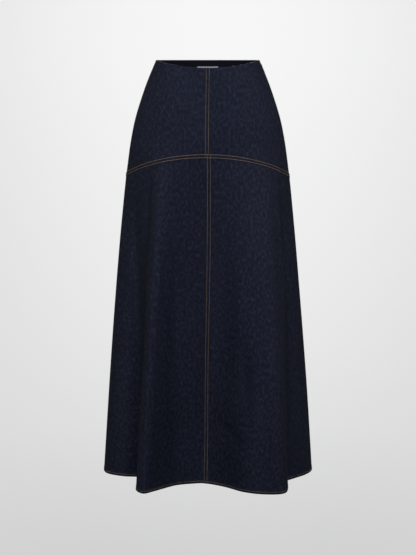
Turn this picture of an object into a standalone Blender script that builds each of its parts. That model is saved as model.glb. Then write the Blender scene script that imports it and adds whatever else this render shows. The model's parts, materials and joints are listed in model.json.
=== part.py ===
"""A long A-line denim skirt, filled out and empty, as its wearer would hold it.

The front faces -Y and the wearer's left side is at +X. The origin is the centre of the waist.
Every cloth piece is a wall of real thickness on one shared surface. A place on that surface is an
angle round the body (0 at centre front, 90 at the left side, 180 at centre back) and a depth
below the waist.
"""

import math
from collections import namedtuple

import bmesh
import bpy
from mathutils import Matrix, Vector

# Lengths, in metres.
SKIRT_LENGTH = 0.9634
DENIM = 0.0012
THIN_CLOTH = 0.0010
HEM_THICKNESS = 0.0026
HEM_DEPTH = 0.0090
HEM_STEP = 0.0005
SEAM_GAP = 0.0003
ZIP_OPENING = 0.0016
FACING_DEPTH = 0.044
WAIST_RISE = 0.0028
FRONT_DIP = 0.0178
YOKE_AT_CENTRE = 0.2063
YOKE_DROP = 0.0560
YOKE_LEAN = 0.0018
FOLDS_START = 0.19

# The folds open quickly after a soft start, and hang straighter towards the hem.
FOLD_SOFT_START = 0.05
FOLD_HANG = 1.5

# How much of a quarter wave the yoke's arched seam has run through when it meets the side seam.
YOKE_ARCH = 0.889

# The centre front seam swings a little to the left between where the folds start and the hem.
SEAM_SWAY = 0.0028
SEAM_SWAY_REACH = 25.0

# Above the hem these parts of the folds lie a little further round. The turn is in degrees, and a
# low rise puts the most of it near the top.
Lean = namedtuple("Lean", "place angle reach turn rise")
LEANS = (
    Lean("right front fold", -38, 25, 3.6, 0.5),
    Lean("outer side of the left front fold", 58, 14, 3.4, 0.9),
)

# Angles round the body, in degrees.
FULL_TURN = 360.0
CENTRE_BACK = 180.0
SIDE_SEAM = 100.0
YOKE_CENTRE_SEAM = -2.3
SKIRT_CENTRE_SEAM = -0.9

# How finely each piece is divided.
FRONT_YOKE_COLUMNS = 28
BACK_YOKE_COLUMNS = 42
FRONT_SKIRT_COLUMNS = 38
BACK_SKIRT_COLUMNS = 62
YOKE_ROWS_BELOW_FACING = 3
SKIRT_ROWS = 8
ROUND_SEGMENTS = 24

# The label, inside the back waist. Its width is a whole number of columns of the back facing.
LABEL_TOP = 0.012
LABEL_BOTTOM = 0.028
LABEL_HALF_COLUMNS = 3

# The concealed zip in the left side seam. Its parts are drawn at the seam, with X towards the
# front, Y out of the skirt and Z up.
ZIP_TAPE_WIDTH = 0.009
ZIP_TOP = 0.003
ZIP_STOP_DEPTH = 0.222
ZIP_END = 0.232
FACING_ENDS_SHORT = 2
SLIDER_DEPTH = 0.010
SLIDER_CLEARANCE = 0.0004
SLIDER_SIZE = Vector((0.0064, 0.0022, 0.0090))
NECK_WIDTH = 0.0009
NECK_HEIGHT = 0.0020
PIN_RADIUS = 0.0005
PIN_LENGTH = 0.0042
PIN_STAND_OFF = 0.0019
LUG_RADIUS = 0.0012
LUG_SPAN = 0.0038
LUG_SLOT = 0.0015
LUG_SLOT_DEPTH = 0.0024
PIN_HOLE_RADIUS = 0.00065
TAB_LENGTH = 0.020
TAB_TOP_WIDTH = 0.0038
TAB_END_RADIUS = 0.0030
TAB_THICKNESS = 0.0010
STOP_SIZE = Vector((0.0050, 0.0010, 0.0040))

# The skirt without its folds: an oval at each depth, wider at the back than at the front.
Section = namedtuple("Section", "depth half_width front back")
SECTIONS = (
    Section(0.000, 0.1201, 0.0925, 0.0925),
    Section(0.045, 0.1391, 0.1015, 0.1055),
    Section(0.090, 0.1551, 0.1090, 0.1175),
    Section(0.135, 0.1686, 0.1150, 0.1270),
    Section(0.180, 0.1778, 0.1190, 0.1325),
    Section(0.250, 0.1876, 0.1230, 0.1370),
    Section(0.370, 0.2005, 0.1290, 0.1430),
    Section(0.560, 0.2172, 0.1370, 0.1520),
    Section(0.750, 0.2319, 0.1440, 0.1620),
    Section(SKIRT_LENGTH, 0.2465, 0.1520, 0.1730),
)

# The folds as the hem shows them, from the right side across the front and round the back.
HemPoint = namedtuple("HemPoint", "place angle x y")
HEM = (
    HemPoint("right side", -90, -0.2470, -0.0020),
    HemPoint("right side turns forward", -83, -0.2365, -0.0347),
    HemPoint("right recess, outer", -74, -0.1974, -0.0620),
    HemPoint("right recess", -66, -0.1600, -0.0700),
    HemPoint("right recess, inner", -56, -0.1530, -0.1100),
    HemPoint("right fold edge", -45, -0.1625, -0.1860),
    HemPoint("right fold crest", -36, -0.1425, -0.2181),
    HemPoint("right fold falls back", -29, -0.1180, -0.1941),
    HemPoint("right slope", -19, -0.0750, -0.1465),
    HemPoint("front hollow, right", -9, -0.0340, -0.1300),
    HemPoint("centre front", 0, -0.0070, -0.1280),
    HemPoint("left slope", 10, 0.0360, -0.1575),
    HemPoint("left slope, outer", 20, 0.0800, -0.2040),
    HemPoint("left fold crest", 31, 0.1280, -0.2245),
    HemPoint("left fold crest, outer", 43, 0.1740, -0.2125),
    HemPoint("left fold edge", 52, 0.1828, -0.1620),
    HemPoint("left recess, inner", 61, 0.1780, -0.1120),
    HemPoint("left recess", 69, 0.1950, -0.0890),
    HemPoint("left side turns forward", 79, 0.2300, -0.0450),
    HemPoint("left side", 90, 0.2474, 0.0013),
    HemPoint("left side turns back", 101, 0.2400, 0.0450),
    HemPoint("left back recess", 114, 0.2000, 0.0800),
    HemPoint("left back recess, inner", 125, 0.1720, 0.1150),
    HemPoint("left back fold edge", 138, 0.1620, 0.1880),
    HemPoint("left back fold crest", 150, 0.1150, 0.2080),
    HemPoint("back hollow, left", 163, 0.0560, 0.1680),
    HemPoint("back hollow", 176, 0.0050, 0.1600),
    HemPoint("right back slope", 188, -0.0450, 0.1850),
    HemPoint("right back fold crest", 200, -0.0950, 0.2180),
    HemPoint("right back fold edge", 212, -0.1350, 0.2000),
    HemPoint("right back recess, inner", 225, -0.1520, 0.1400),
    HemPoint("right back recess", 238, -0.1780, 0.1050),
    HemPoint("right side turns back", 252, -0.2250, 0.0680),
    HemPoint("right side, behind", 262, -0.2420, 0.0320),
)

# One point of the shared surface, with its outward direction.
Place = namedtuple("Place", "point normal")


def smooth_curve(knots, values, at):
    """A smooth curve through the values, with each slope taken from its two neighbours."""
    last = len(knots) - 1
    k = max(0, min(last - 1, sum(1 for knot in knots[1:] if knot <= at)))

    def slope(i):
        if i == 0:
            return (values[1] - values[0]) / (knots[1] - knots[0])
        if i == last:
            return (values[last] - values[last - 1]) / (knots[last] - knots[last - 1])
        before = knots[i] - knots[i - 1]
        after = knots[i + 1] - knots[i]
        rise_before = (values[i] - values[i - 1]) / before
        rise_after = (values[i + 1] - values[i]) / after
        return (rise_before * after + rise_after * before) / (before + after)

    span = knots[k + 1] - knots[k]
    t = (at - knots[k]) / span
    return (
        (2 * t**3 - 3 * t**2 + 1) * values[k]
        + (t**3 - 2 * t**2 + t) * span * slope(k)
        + (3 * t**2 - 2 * t**3) * values[k + 1]
        + (t**3 - t**2) * span * slope(k + 1)
    )


def oval_point(angle, depth):
    """The skirt's outer face without its folds."""
    depths = [section.depth for section in SECTIONS]
    half_width = smooth_curve(depths, [section.half_width for section in SECTIONS], depth)
    front = smooth_curve(depths, [section.front for section in SECTIONS], depth)
    back = smooth_curve(depths, [section.back for section in SECTIONS], depth)
    turn = math.radians(angle)
    reach = front if math.cos(turn) > 0 else back
    return Vector((half_width * math.sin(turn), -reach * math.cos(turn), -depth))


def hem_point(angle):
    """The folded hem, as a closed curve through the points of HEM."""
    turns = (-FULL_TURN, 0, FULL_TURN)
    around = [point._replace(angle=point.angle + turn) for turn in turns for point in HEM]
    angles = [point.angle for point in around]
    wrapped = (angle - HEM[0].angle) % FULL_TURN + HEM[0].angle
    x = smooth_curve(angles, [point.x for point in around], wrapped)
    y = smooth_curve(angles, [point.y for point in around], wrapped)
    return Vector((x, y, -SKIRT_LENGTH))


def skirt_point(angle, depth):
    """The skirt's outer face: the oval, pushed towards the folded hem more and more with depth."""
    point = oval_point(angle, depth)
    share = min(1.0, (depth - FOLDS_START) / (SKIRT_LENGTH - FOLDS_START))
    if share <= 0:
        return point
    opened = share * share * (1 + FOLD_SOFT_START) / (share + FOLD_SOFT_START)
    fullness = 1 - (1 - opened) ** FOLD_HANG
    from_centre_front = (angle + CENTRE_BACK) % FULL_TURN - CENTRE_BACK
    sway = SEAM_SWAY * math.sin(math.pi * share) * math.exp(-((from_centre_front / SEAM_SWAY_REACH) ** 2))
    leaning = angle
    for lean in LEANS:
        nearness = math.exp(-(((from_centre_front - lean.angle) / lean.reach) ** 2))
        leaning -= lean.turn * math.sin(math.pi * share**lean.rise) * nearness
    folds = hem_point(leaning) - oval_point(leaning, SKIRT_LENGTH)
    return point + fullness * folds + Vector((sway, 0, 0))


def place_on_skirt(angle, depth, sideways=0.0):
    """The Place at an angle and a depth, moved sideways round the body by a length."""
    small_angle = 0.25
    small_depth = 0.001
    around = skirt_point(angle + small_angle, depth) - skirt_point(angle - small_angle, depth)
    down = skirt_point(angle, depth + small_depth) - skirt_point(angle, depth - small_depth)
    normal = down.cross(around).normalized()
    return Place(skirt_point(angle, depth) + around.normalized() * sideways, normal)


def waist_edge(angle):
    """Depth of the top edge, level at the back and dipping across the front."""
    return FRONT_DIP * max(0.0, math.cos(math.radians(angle))) ** 2 - WAIST_RISE


def yoke_seam(angle):
    """Depth of the arched seam between yoke and skirt, lowest at the side seams."""
    from_centre_front = abs((angle + CENTRE_BACK) % FULL_TURN - CENTRE_BACK)
    if from_centre_front <= SIDE_SEAM:
        share = from_centre_front / SIDE_SEAM
    else:
        share = (CENTRE_BACK - from_centre_front) / (CENTRE_BACK - SIDE_SEAM)
    arch = YOKE_DROP * math.sin(math.pi / 2 * YOKE_ARCH * share) ** 2
    return YOKE_AT_CENTRE + arch + YOKE_LEAN * math.sin(math.radians(angle))


def spread(first, last, count):
    """Evenly spaced values, both ends included."""
    return [first + (last - first) * i / count for i in range(count + 1)]


def yoke_depths(angle):
    top = waist_edge(angle)
    return [top] + spread(top + FACING_DEPTH, yoke_seam(angle) - SEAM_GAP / 2, YOKE_ROWS_BELOW_FACING)


def skirt_depths(angle):
    hem_top = SKIRT_LENGTH - HEM_DEPTH
    return spread(yoke_seam(angle) + SEAM_GAP / 2, hem_top - HEM_STEP, SKIRT_ROWS) + [hem_top, SKIRT_LENGTH]


def panel_grid(start, end, columns, depths_at, start_gap=SEAM_GAP, end_gap=SEAM_GAP):
    """Places of one panel, a list for each column. Its side edges keep half of each seam's gap."""
    grid = []
    for i, angle in enumerate(spread(start, end, columns)):
        sideways = start_gap / 2 if i == 0 else -end_gap / 2 if i == columns else 0.0
        grid.append([place_on_skirt(angle, depth, sideways) for depth in depths_at(angle)])
    return grid


def between(first, second, share):
    """The Place a share of the way along the straight line between two Places."""
    return Place(first.point.lerp(second.point, share), first.normal.lerp(second.normal, share))


def at_row(column, row):
    """The Place at a fractional row of one column, on its straight facets."""
    k = min(int(row), len(column) - 2)
    return between(column[k], column[k + 1], row - k)


def row_at_depth(column, depth):
    """The fractional row of a column that lies at a depth."""
    k = 0
    while k < len(column) - 2 and -column[k + 1].point.z < depth:
        k += 1
    high, low = -column[k].point.z, -column[k + 1].point.z
    return k + (depth - high) / (low - high)


def at_distance(columns, depth, distance):
    """The Place on the facets of a panel at a depth, a length away from its first column."""
    places = [at_row(column, row_at_depth(column, depth)) for column in columns]
    walked = 0.0
    for here, there in zip(places, places[1:]):
        step = (there.point - here.point).length
        if walked + step >= distance:
            return between(here, there, (distance - walked) / step)
        walked += step
    return places[-1]


def new_material(name, colour, roughness, metallic=0.0):
    material = bpy.data.materials.new(name)
    material.use_nodes = True
    shader = material.node_tree.nodes["Principled BSDF"]
    shader.inputs["Base Color"].default_value = (*colour, 1.0)
    shader.inputs["Roughness"].default_value = roughness
    shader.inputs["Metallic"].default_value = metallic
    return material


def denim(name):
    return new_material(name, (0.0125, 0.0150, 0.0260), 0.85)


def new_object(name, mesh, material, smooth_angle=None):
    """Puts a mesh into the scene as one sub-part."""
    mesh.materials.append(material)
    if smooth_angle is not None:
        mesh.shade_smooth()
        mesh.set_sharp_from_angle(angle=math.radians(smooth_angle))
    built = bpy.data.objects.new(name, mesh)
    bpy.context.scene.collection.objects.link(built)
    return built


def cloth_wall(name, grid, material, inside_by=0.0, thickness=DENIM, edge_thickness=None):
    """A closed wall on a grid of Places: its outer face lies inside_by within the surface.

    edge_thickness, where it is given, is the thickness of the last two rows, a turned hem.
    """
    columns, rows = len(grid), len(grid[0])
    shape = bmesh.new()
    outer, inner = [], []
    for column in grid:
        outer.append([])
        inner.append([])
        for row, place in enumerate(column):
            is_edge = edge_thickness is not None and row >= rows - 2
            wall = edge_thickness if is_edge else thickness
            outer[-1].append(shape.verts.new(place.point - place.normal * inside_by))
            inner[-1].append(shape.verts.new(place.point - place.normal * (inside_by + wall)))
    for c in range(columns - 1):
        for r in range(rows - 1):
            shape.faces.new((outer[c][r], outer[c][r + 1], outer[c + 1][r + 1], outer[c + 1][r]))
            shape.faces.new((inner[c][r], inner[c + 1][r], inner[c + 1][r + 1], inner[c][r + 1]))
        shape.faces.new((outer[c][0], outer[c + 1][0], inner[c + 1][0], inner[c][0]))
        shape.faces.new((outer[c][-1], inner[c][-1], inner[c + 1][-1], outer[c + 1][-1]))
    for r in range(rows - 1):
        shape.faces.new((outer[0][r], inner[0][r], inner[0][r + 1], outer[0][r + 1]))
        shape.faces.new((outer[-1][r], outer[-1][r + 1], inner[-1][r + 1], inner[-1][r]))
    bmesh.ops.recalc_face_normals(shape, faces=shape.faces)
    mesh = bpy.data.meshes.new(name)
    shape.to_mesh(mesh)
    shape.free()
    return new_object(name, mesh, material, smooth_angle=50)


def build_yokes():
    """The three fitted hip pieces. Their edges stand apart at the zip. Returns their grids."""
    right = panel_grid(-SIDE_SEAM, YOKE_CENTRE_SEAM, FRONT_YOKE_COLUMNS, yoke_depths)
    left = panel_grid(YOKE_CENTRE_SEAM, SIDE_SEAM, FRONT_YOKE_COLUMNS, yoke_depths, end_gap=ZIP_OPENING)
    back = panel_grid(
        SIDE_SEAM, FULL_TURN - SIDE_SEAM, BACK_YOKE_COLUMNS, yoke_depths, start_gap=ZIP_OPENING
    )
    cloth_wall("front_yoke_right", right, denim("front_yoke_right_denim"))
    cloth_wall("front_yoke_left", left, denim("front_yoke_left_denim"))
    cloth_wall("back_yoke", back, denim("back_yoke_denim"))
    return right, left, back


def build_skirt_panels():
    """The three flared panels, each with its narrow turned hem."""
    right = panel_grid(-SIDE_SEAM, SKIRT_CENTRE_SEAM, FRONT_SKIRT_COLUMNS, skirt_depths)
    left = panel_grid(SKIRT_CENTRE_SEAM, SIDE_SEAM, FRONT_SKIRT_COLUMNS, skirt_depths)
    back = panel_grid(SIDE_SEAM, FULL_TURN - SIDE_SEAM, BACK_SKIRT_COLUMNS, skirt_depths)
    for name, grid in (("front_skirt_right", right), ("front_skirt_left", left), ("back_skirt", back)):
        cloth_wall(name, grid, denim(name + "_denim"), edge_thickness=HEM_THICKNESS)


def build_facings(right_yoke, left_yoke, back_yoke):
    """The waist facings, on the yokes' own top row of facets and clear of the zip."""
    front = [column[:2] for column in right_yoke + left_yoke[1 : -FACING_ENDS_SHORT]]
    back = [column[:2] for column in back_yoke[FACING_ENDS_SHORT:]]
    for name, grid in (("front_facing", front), ("back_facing", back)):
        material = new_material(name + "_cotton", (0.0070, 0.0075, 0.0090), 0.9)
        cloth_wall(name, grid, material, inside_by=DENIM + SEAM_GAP, thickness=THIN_CLOTH)


def build_label(back_yoke):
    """A blank woven label on the back facing, at centre back."""
    middle = BACK_YOKE_COLUMNS // 2
    columns = back_yoke[middle - LABEL_HALF_COLUMNS : middle + LABEL_HALF_COLUMNS + 1]
    depths = (LABEL_TOP, LABEL_BOTTOM)
    grid = [[at_row(column, row_at_depth(column, depth)) for depth in depths] for column in columns]
    material = new_material("label_satin", (0.62, 0.64, 0.75), 0.5)
    inside_by = DENIM + THIN_CLOTH + 2 * SEAM_GAP
    cloth_wall("back_label", grid, material, inside_by=inside_by, thickness=THIN_CLOTH)


def build_zip_tapes(left_yoke, back_yoke):
    """One woven tape behind each edge of the left side opening."""
    depths = [ZIP_TOP]
    depths += [-place.point.z for place in back_yoke[0][1:-1]]
    depths += [ZIP_END]
    distances = spread(0.0, ZIP_TAPE_WIDTH, 2)
    near_front = left_yoke[::-1][: FACING_ENDS_SHORT + 1]
    near_back = back_yoke[: FACING_ENDS_SHORT + 1]
    for name, columns in (("zip_tape_front", near_front), ("zip_tape_back", near_back)):
        grid = [[at_distance(columns, depth, distance) for depth in depths] for distance in distances]
        material = new_material(name + "_polyester", (0.010, 0.012, 0.022), 0.7)
        cloth_wall(name, grid, material, inside_by=DENIM + SEAM_GAP, thickness=THIN_CLOTH)


def zip_frame(left_yoke, back_yoke, depth):
    """The seam's own axes at a depth: X towards the front, Y out of the skirt, Z up."""
    front_edge = at_row(left_yoke[-1], row_at_depth(left_yoke[-1], depth))
    back_edge = at_row(back_yoke[0], row_at_depth(back_yoke[0], depth))
    middle = between(front_edge, back_edge, 0.5)
    forward = (front_edge.point - back_edge.point).normalized()
    up = forward.cross(middle.normal).normalized()
    outward = up.cross(forward)
    frame = Matrix((forward, outward, up)).transposed().to_4x4()
    return Matrix.Translation(middle.point) @ frame


def new_box(name, size, centre):
    """A box drawn in the seam's axes."""
    shape = bmesh.new()
    bmesh.ops.create_cube(shape, size=1.0)
    bmesh.ops.scale(shape, vec=size, verts=shape.verts)
    bmesh.ops.translate(shape, vec=centre, verts=shape.verts)
    mesh = bpy.data.meshes.new(name)
    shape.to_mesh(mesh)
    shape.free()
    return mesh


def new_pin(name, radius, length, centre):
    """A round bar along the seam's X axis."""
    shape = bmesh.new()
    bmesh.ops.create_cone(
        shape, cap_ends=True, segments=ROUND_SEGMENTS, radius1=radius, radius2=radius, depth=length
    )
    bmesh.ops.rotate(shape, matrix=Matrix.Rotation(math.pi / 2, 3, "Y"), verts=shape.verts)
    bmesh.ops.translate(shape, vec=centre, verts=shape.verts)
    mesh = bpy.data.meshes.new(name)
    shape.to_mesh(mesh)
    shape.free()
    return mesh


def add_boolean(target, mesh, operation):
    """Joins a mesh to the target, or cuts it away. The helper object isn't part of the skirt."""
    helper = bpy.data.objects.new(mesh.name, mesh)
    bpy.context.scene.collection.objects.link(helper)
    helper.matrix_world = target.matrix_world
    helper.hide_render = True
    helper.display_type = "WIRE"
    modifier = target.modifiers.new(mesh.name, "BOOLEAN")
    modifier.operation = operation
    modifier.object = helper


def build_slider(frame):
    """The slider: a block behind the tapes, with a neck through the opening and a pin outside."""
    inner_face = -(DENIM + THIN_CLOTH + SEAM_GAP + SLIDER_CLEARANCE)
    block = new_box("zip_slider", SLIDER_SIZE, Vector((0, inner_face - SLIDER_SIZE.y / 2, 0)))
    material = new_material("slider_metal", (0.03, 0.035, 0.05), 0.35, metallic=1.0)
    slider = new_object("zip_slider", block, material, smooth_angle=30)
    slider.matrix_world = frame
    neck_from = inner_face - SLIDER_SIZE.y / 2
    neck_size = Vector((NECK_WIDTH, PIN_STAND_OFF - neck_from, NECK_HEIGHT))
    neck_centre = Vector((0, (PIN_STAND_OFF + neck_from) / 2, 0))
    add_boolean(slider, new_box("slider_neck", neck_size, neck_centre), "UNION")
    pin_centre = Vector((0, PIN_STAND_OFF, 0))
    add_boolean(slider, new_pin("slider_pin", PIN_RADIUS, PIN_LENGTH, pin_centre), "UNION")


def tab_outline():
    """The tab's outline in the seam's X and Z, about the pin: straight sides and a round end."""
    end_centre = -(TAB_LENGTH - TAB_END_RADIUS)
    arc = [math.pi * i / ROUND_SEGMENTS for i in range(ROUND_SEGMENTS + 1)]
    round_end = [(TAB_END_RADIUS * math.cos(a), end_centre - TAB_END_RADIUS * math.sin(a)) for a in arc]
    return [(-TAB_TOP_WIDTH / 2, 0.0), (TAB_TOP_WIDTH / 2, 0.0)] + round_end


def build_pull_tab(frame):
    """The pull tab, with its origin on the pin: two lugs round the pin and a flat teardrop."""
    shape = bmesh.new()
    front = [shape.verts.new((x, -TAB_THICKNESS / 2, z)) for x, z in tab_outline()]
    back = [shape.verts.new((x, TAB_THICKNESS / 2, z)) for x, z in tab_outline()]
    shape.faces.new(front)
    shape.faces.new(back[::-1])
    for i in range(len(front)):
        shape.faces.new((front[i - 1], back[i - 1], back[i], front[i]))
    bmesh.ops.recalc_face_normals(shape, faces=shape.faces)
    mesh = bpy.data.meshes.new("zip_pull_tab")
    shape.to_mesh(mesh)
    shape.free()
    material = new_material("pull_tab_metal", (0.03, 0.035, 0.05), 0.35, metallic=1.0)
    tab = new_object("zip_pull_tab", mesh, material, smooth_angle=30)
    tab.matrix_world = frame @ Matrix.Translation((0, PIN_STAND_OFF, 0))
    centre = Vector((0, 0, 0))
    add_boolean(tab, new_pin("tab_lugs", LUG_RADIUS, LUG_SPAN, centre), "UNION")
    slot_size = Vector((LUG_SLOT, 4 * LUG_RADIUS, 2 * LUG_SLOT_DEPTH))
    add_boolean(tab, new_box("tab_slot", slot_size, centre), "DIFFERENCE")
    add_boolean(tab, new_pin("tab_hole", PIN_HOLE_RADIUS, 2 * LUG_SPAN, centre), "DIFFERENCE")


def build_zip_stop(frame):
    """The bottom stop, clamped on both tapes."""
    inner_face = -(DENIM + THIN_CLOTH + SEAM_GAP + SLIDER_CLEARANCE)
    mesh = new_box("zip_bottom_stop", STOP_SIZE, Vector((0, inner_face - STOP_SIZE.y / 2, 0)))
    material = new_material("stop_metal", (0.03, 0.035, 0.05), 0.35, metallic=1.0)
    new_object("zip_bottom_stop", mesh, material).matrix_world = frame


def main():
    for old in list(bpy.data.objects):
        bpy.data.objects.remove(old)
    right_yoke, left_yoke, back_yoke = build_yokes()
    build_skirt_panels()
    build_facings(right_yoke, left_yoke, back_yoke)
    build_label(back_yoke)
    build_zip_tapes(left_yoke, back_yoke)
    slider_frame = zip_frame(left_yoke, back_yoke, SLIDER_DEPTH)
    build_slider(slider_frame)
    build_pull_tab(slider_frame)
    build_zip_stop(zip_frame(left_yoke, back_yoke, ZIP_STOP_DEPTH))


main()
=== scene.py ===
"""The finish of a long A-line denim skirt: raw denim, gold topstitching, facings, label and zip.

The skirt is filled out and empty, its front faces -Y and its left side is at +X. A place on the cloth
is an angle round the body (0 at centre front, 90 at the left side, 180 at centre back) and a depth
below the waist. Every sheet of cloth is a thin shell on that surface.
"""

import json
import math
from collections import namedtuple

import bmesh
import bpy
import numpy as np
from bpy.props import FloatProperty, FloatVectorProperty, IntProperty, PointerProperty
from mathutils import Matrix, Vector

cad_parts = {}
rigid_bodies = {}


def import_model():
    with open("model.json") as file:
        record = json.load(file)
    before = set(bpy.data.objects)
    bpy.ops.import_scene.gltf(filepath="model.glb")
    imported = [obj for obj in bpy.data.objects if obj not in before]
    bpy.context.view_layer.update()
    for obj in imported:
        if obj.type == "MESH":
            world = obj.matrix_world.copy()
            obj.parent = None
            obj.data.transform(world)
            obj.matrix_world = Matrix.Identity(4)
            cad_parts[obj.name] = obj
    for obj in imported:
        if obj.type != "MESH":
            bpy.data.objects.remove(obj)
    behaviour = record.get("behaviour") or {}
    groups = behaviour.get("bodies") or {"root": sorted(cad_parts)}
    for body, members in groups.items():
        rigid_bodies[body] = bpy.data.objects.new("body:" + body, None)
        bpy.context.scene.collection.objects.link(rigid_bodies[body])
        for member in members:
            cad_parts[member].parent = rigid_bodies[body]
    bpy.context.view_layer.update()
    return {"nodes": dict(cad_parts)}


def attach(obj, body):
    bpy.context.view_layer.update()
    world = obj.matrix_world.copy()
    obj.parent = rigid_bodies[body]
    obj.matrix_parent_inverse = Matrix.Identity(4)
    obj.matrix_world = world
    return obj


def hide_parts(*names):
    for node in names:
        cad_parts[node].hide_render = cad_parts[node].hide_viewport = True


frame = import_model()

bl_info = {
    "name": "Denim Skirt",
    "version": (1, 0, 0),
    "blender": (4, 5, 0),
    "location": "3D View > Sidebar > Skirt",
    "description": "Builds the cloth, stitching, label, zip and studio of a long denim skirt",
    "category": "Object",
}

# The cut of the skirt: lengths in metres, angles in degrees.
SKIRT_LENGTH = 0.9634
FACING_DEPTH = 0.044
WAIST_RISE = 0.0028
FRONT_DIP = 0.0178

# The seam between yoke and skirt: its depth at centre front, how far it would drop in a whole quarter
# turn of its arch, how much of that turn it has made at the side seams, and how much lower it is on
# the left than in the middle.
YOKE_AT_CENTRE = 0.2063
YOKE_DROP = 0.0560
YOKE_ARCH = 0.889
YOKE_LEAN = 0.0018

# The folds start below the hips, softly, and hang out fast at first and slower near the hem.
FOLDS_START = 0.19
FOLD_SOFT_START = 0.05
FOLD_HANG = 1.5

# Half-way down, the cloth round the centre seam sways to the left.
SEAM_SWAY = 0.0028
SEAM_SWAY_REACH = 25.0

# Above the hem these parts of the folds lie a little further round. The turn is in degrees, and a
# low rise puts the most of it near the top.
Lean = namedtuple("Lean", "place angle reach turn rise")
LEANS = (
    Lean("right front fold", -38, 25, 3.6, 0.5),
    Lean("outer side of the left front fold", 58, 14, 3.4, 0.9),
)
FULL_TURN = 360.0
CENTRE_BACK = 180.0
SIDE_SEAM = 100.0
YOKE_CENTRE_SEAM = -2.3
SKIRT_CENTRE_SEAM = -0.9

# The skirt without its folds: an oval at each depth.
Section = namedtuple("Section", "depth half_width front back")
SECTIONS = (
    Section(0.000, 0.1201, 0.0925, 0.0925),
    Section(0.045, 0.1391, 0.1015, 0.1055),
    Section(0.090, 0.1551, 0.1090, 0.1175),
    Section(0.135, 0.1686, 0.1150, 0.1270),
    Section(0.180, 0.1778, 0.1190, 0.1325),
    Section(0.250, 0.1876, 0.1230, 0.1370),
    Section(0.370, 0.2005, 0.1290, 0.1430),
    Section(0.560, 0.2172, 0.1370, 0.1520),
    Section(0.750, 0.2319, 0.1440, 0.1620),
    Section(SKIRT_LENGTH, 0.2465, 0.1520, 0.1730),
)

# The folds as the hem shows them, from the right side across the front and round the back.
HemPoint = namedtuple("HemPoint", "place angle x y")
HEM = (
    HemPoint("right side", -90, -0.2470, -0.0020),
    HemPoint("right side turns forward", -83, -0.2365, -0.0347),
    HemPoint("right recess, outer", -74, -0.1974, -0.0620),
    HemPoint("right recess", -66, -0.1600, -0.0700),
    HemPoint("right recess, inner", -56, -0.1530, -0.1100),
    HemPoint("right fold edge", -45, -0.1625, -0.1860),
    HemPoint("right fold crest", -36, -0.1425, -0.2181),
    HemPoint("right fold falls back", -29, -0.1180, -0.1941),
    HemPoint("right slope", -19, -0.0750, -0.1465),
    HemPoint("front hollow, right", -9, -0.0340, -0.1300),
    HemPoint("centre front", 0, -0.0070, -0.1280),
    HemPoint("left slope", 10, 0.0360, -0.1575),
    HemPoint("left slope, outer", 20, 0.0800, -0.2040),
    HemPoint("left fold crest", 31, 0.1280, -0.2245),
    HemPoint("left fold crest, outer", 43, 0.1740, -0.2125),
    HemPoint("left fold edge", 52, 0.1828, -0.1620),
    HemPoint("left recess, inner", 61, 0.1780, -0.1120),
    HemPoint("left recess", 69, 0.1950, -0.0890),
    HemPoint("left side turns forward", 79, 0.2300, -0.0450),
    HemPoint("left side", 90, 0.2474, 0.0013),
    HemPoint("left side turns back", 101, 0.2400, 0.0450),
    HemPoint("left back recess", 114, 0.2000, 0.0800),
    HemPoint("left back recess, inner", 125, 0.1720, 0.1150),
    HemPoint("left back fold edge", 138, 0.1620, 0.1880),
    HemPoint("left back fold crest", 150, 0.1150, 0.2080),
    HemPoint("back hollow, left", 163, 0.0560, 0.1680),
    HemPoint("back hollow", 176, 0.0050, 0.1600),
    HemPoint("right back slope", 188, -0.0450, 0.1850),
    HemPoint("right back fold crest", 200, -0.0950, 0.2180),
    HemPoint("right back fold edge", 212, -0.1350, 0.2000),
    HemPoint("right back recess, inner", 225, -0.1520, 0.1400),
    HemPoint("right back recess", 238, -0.1780, 0.1050),
    HemPoint("right side turns back", 252, -0.2250, 0.0680),
    HemPoint("right side, behind", 262, -0.2420, 0.0320),
)

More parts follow.
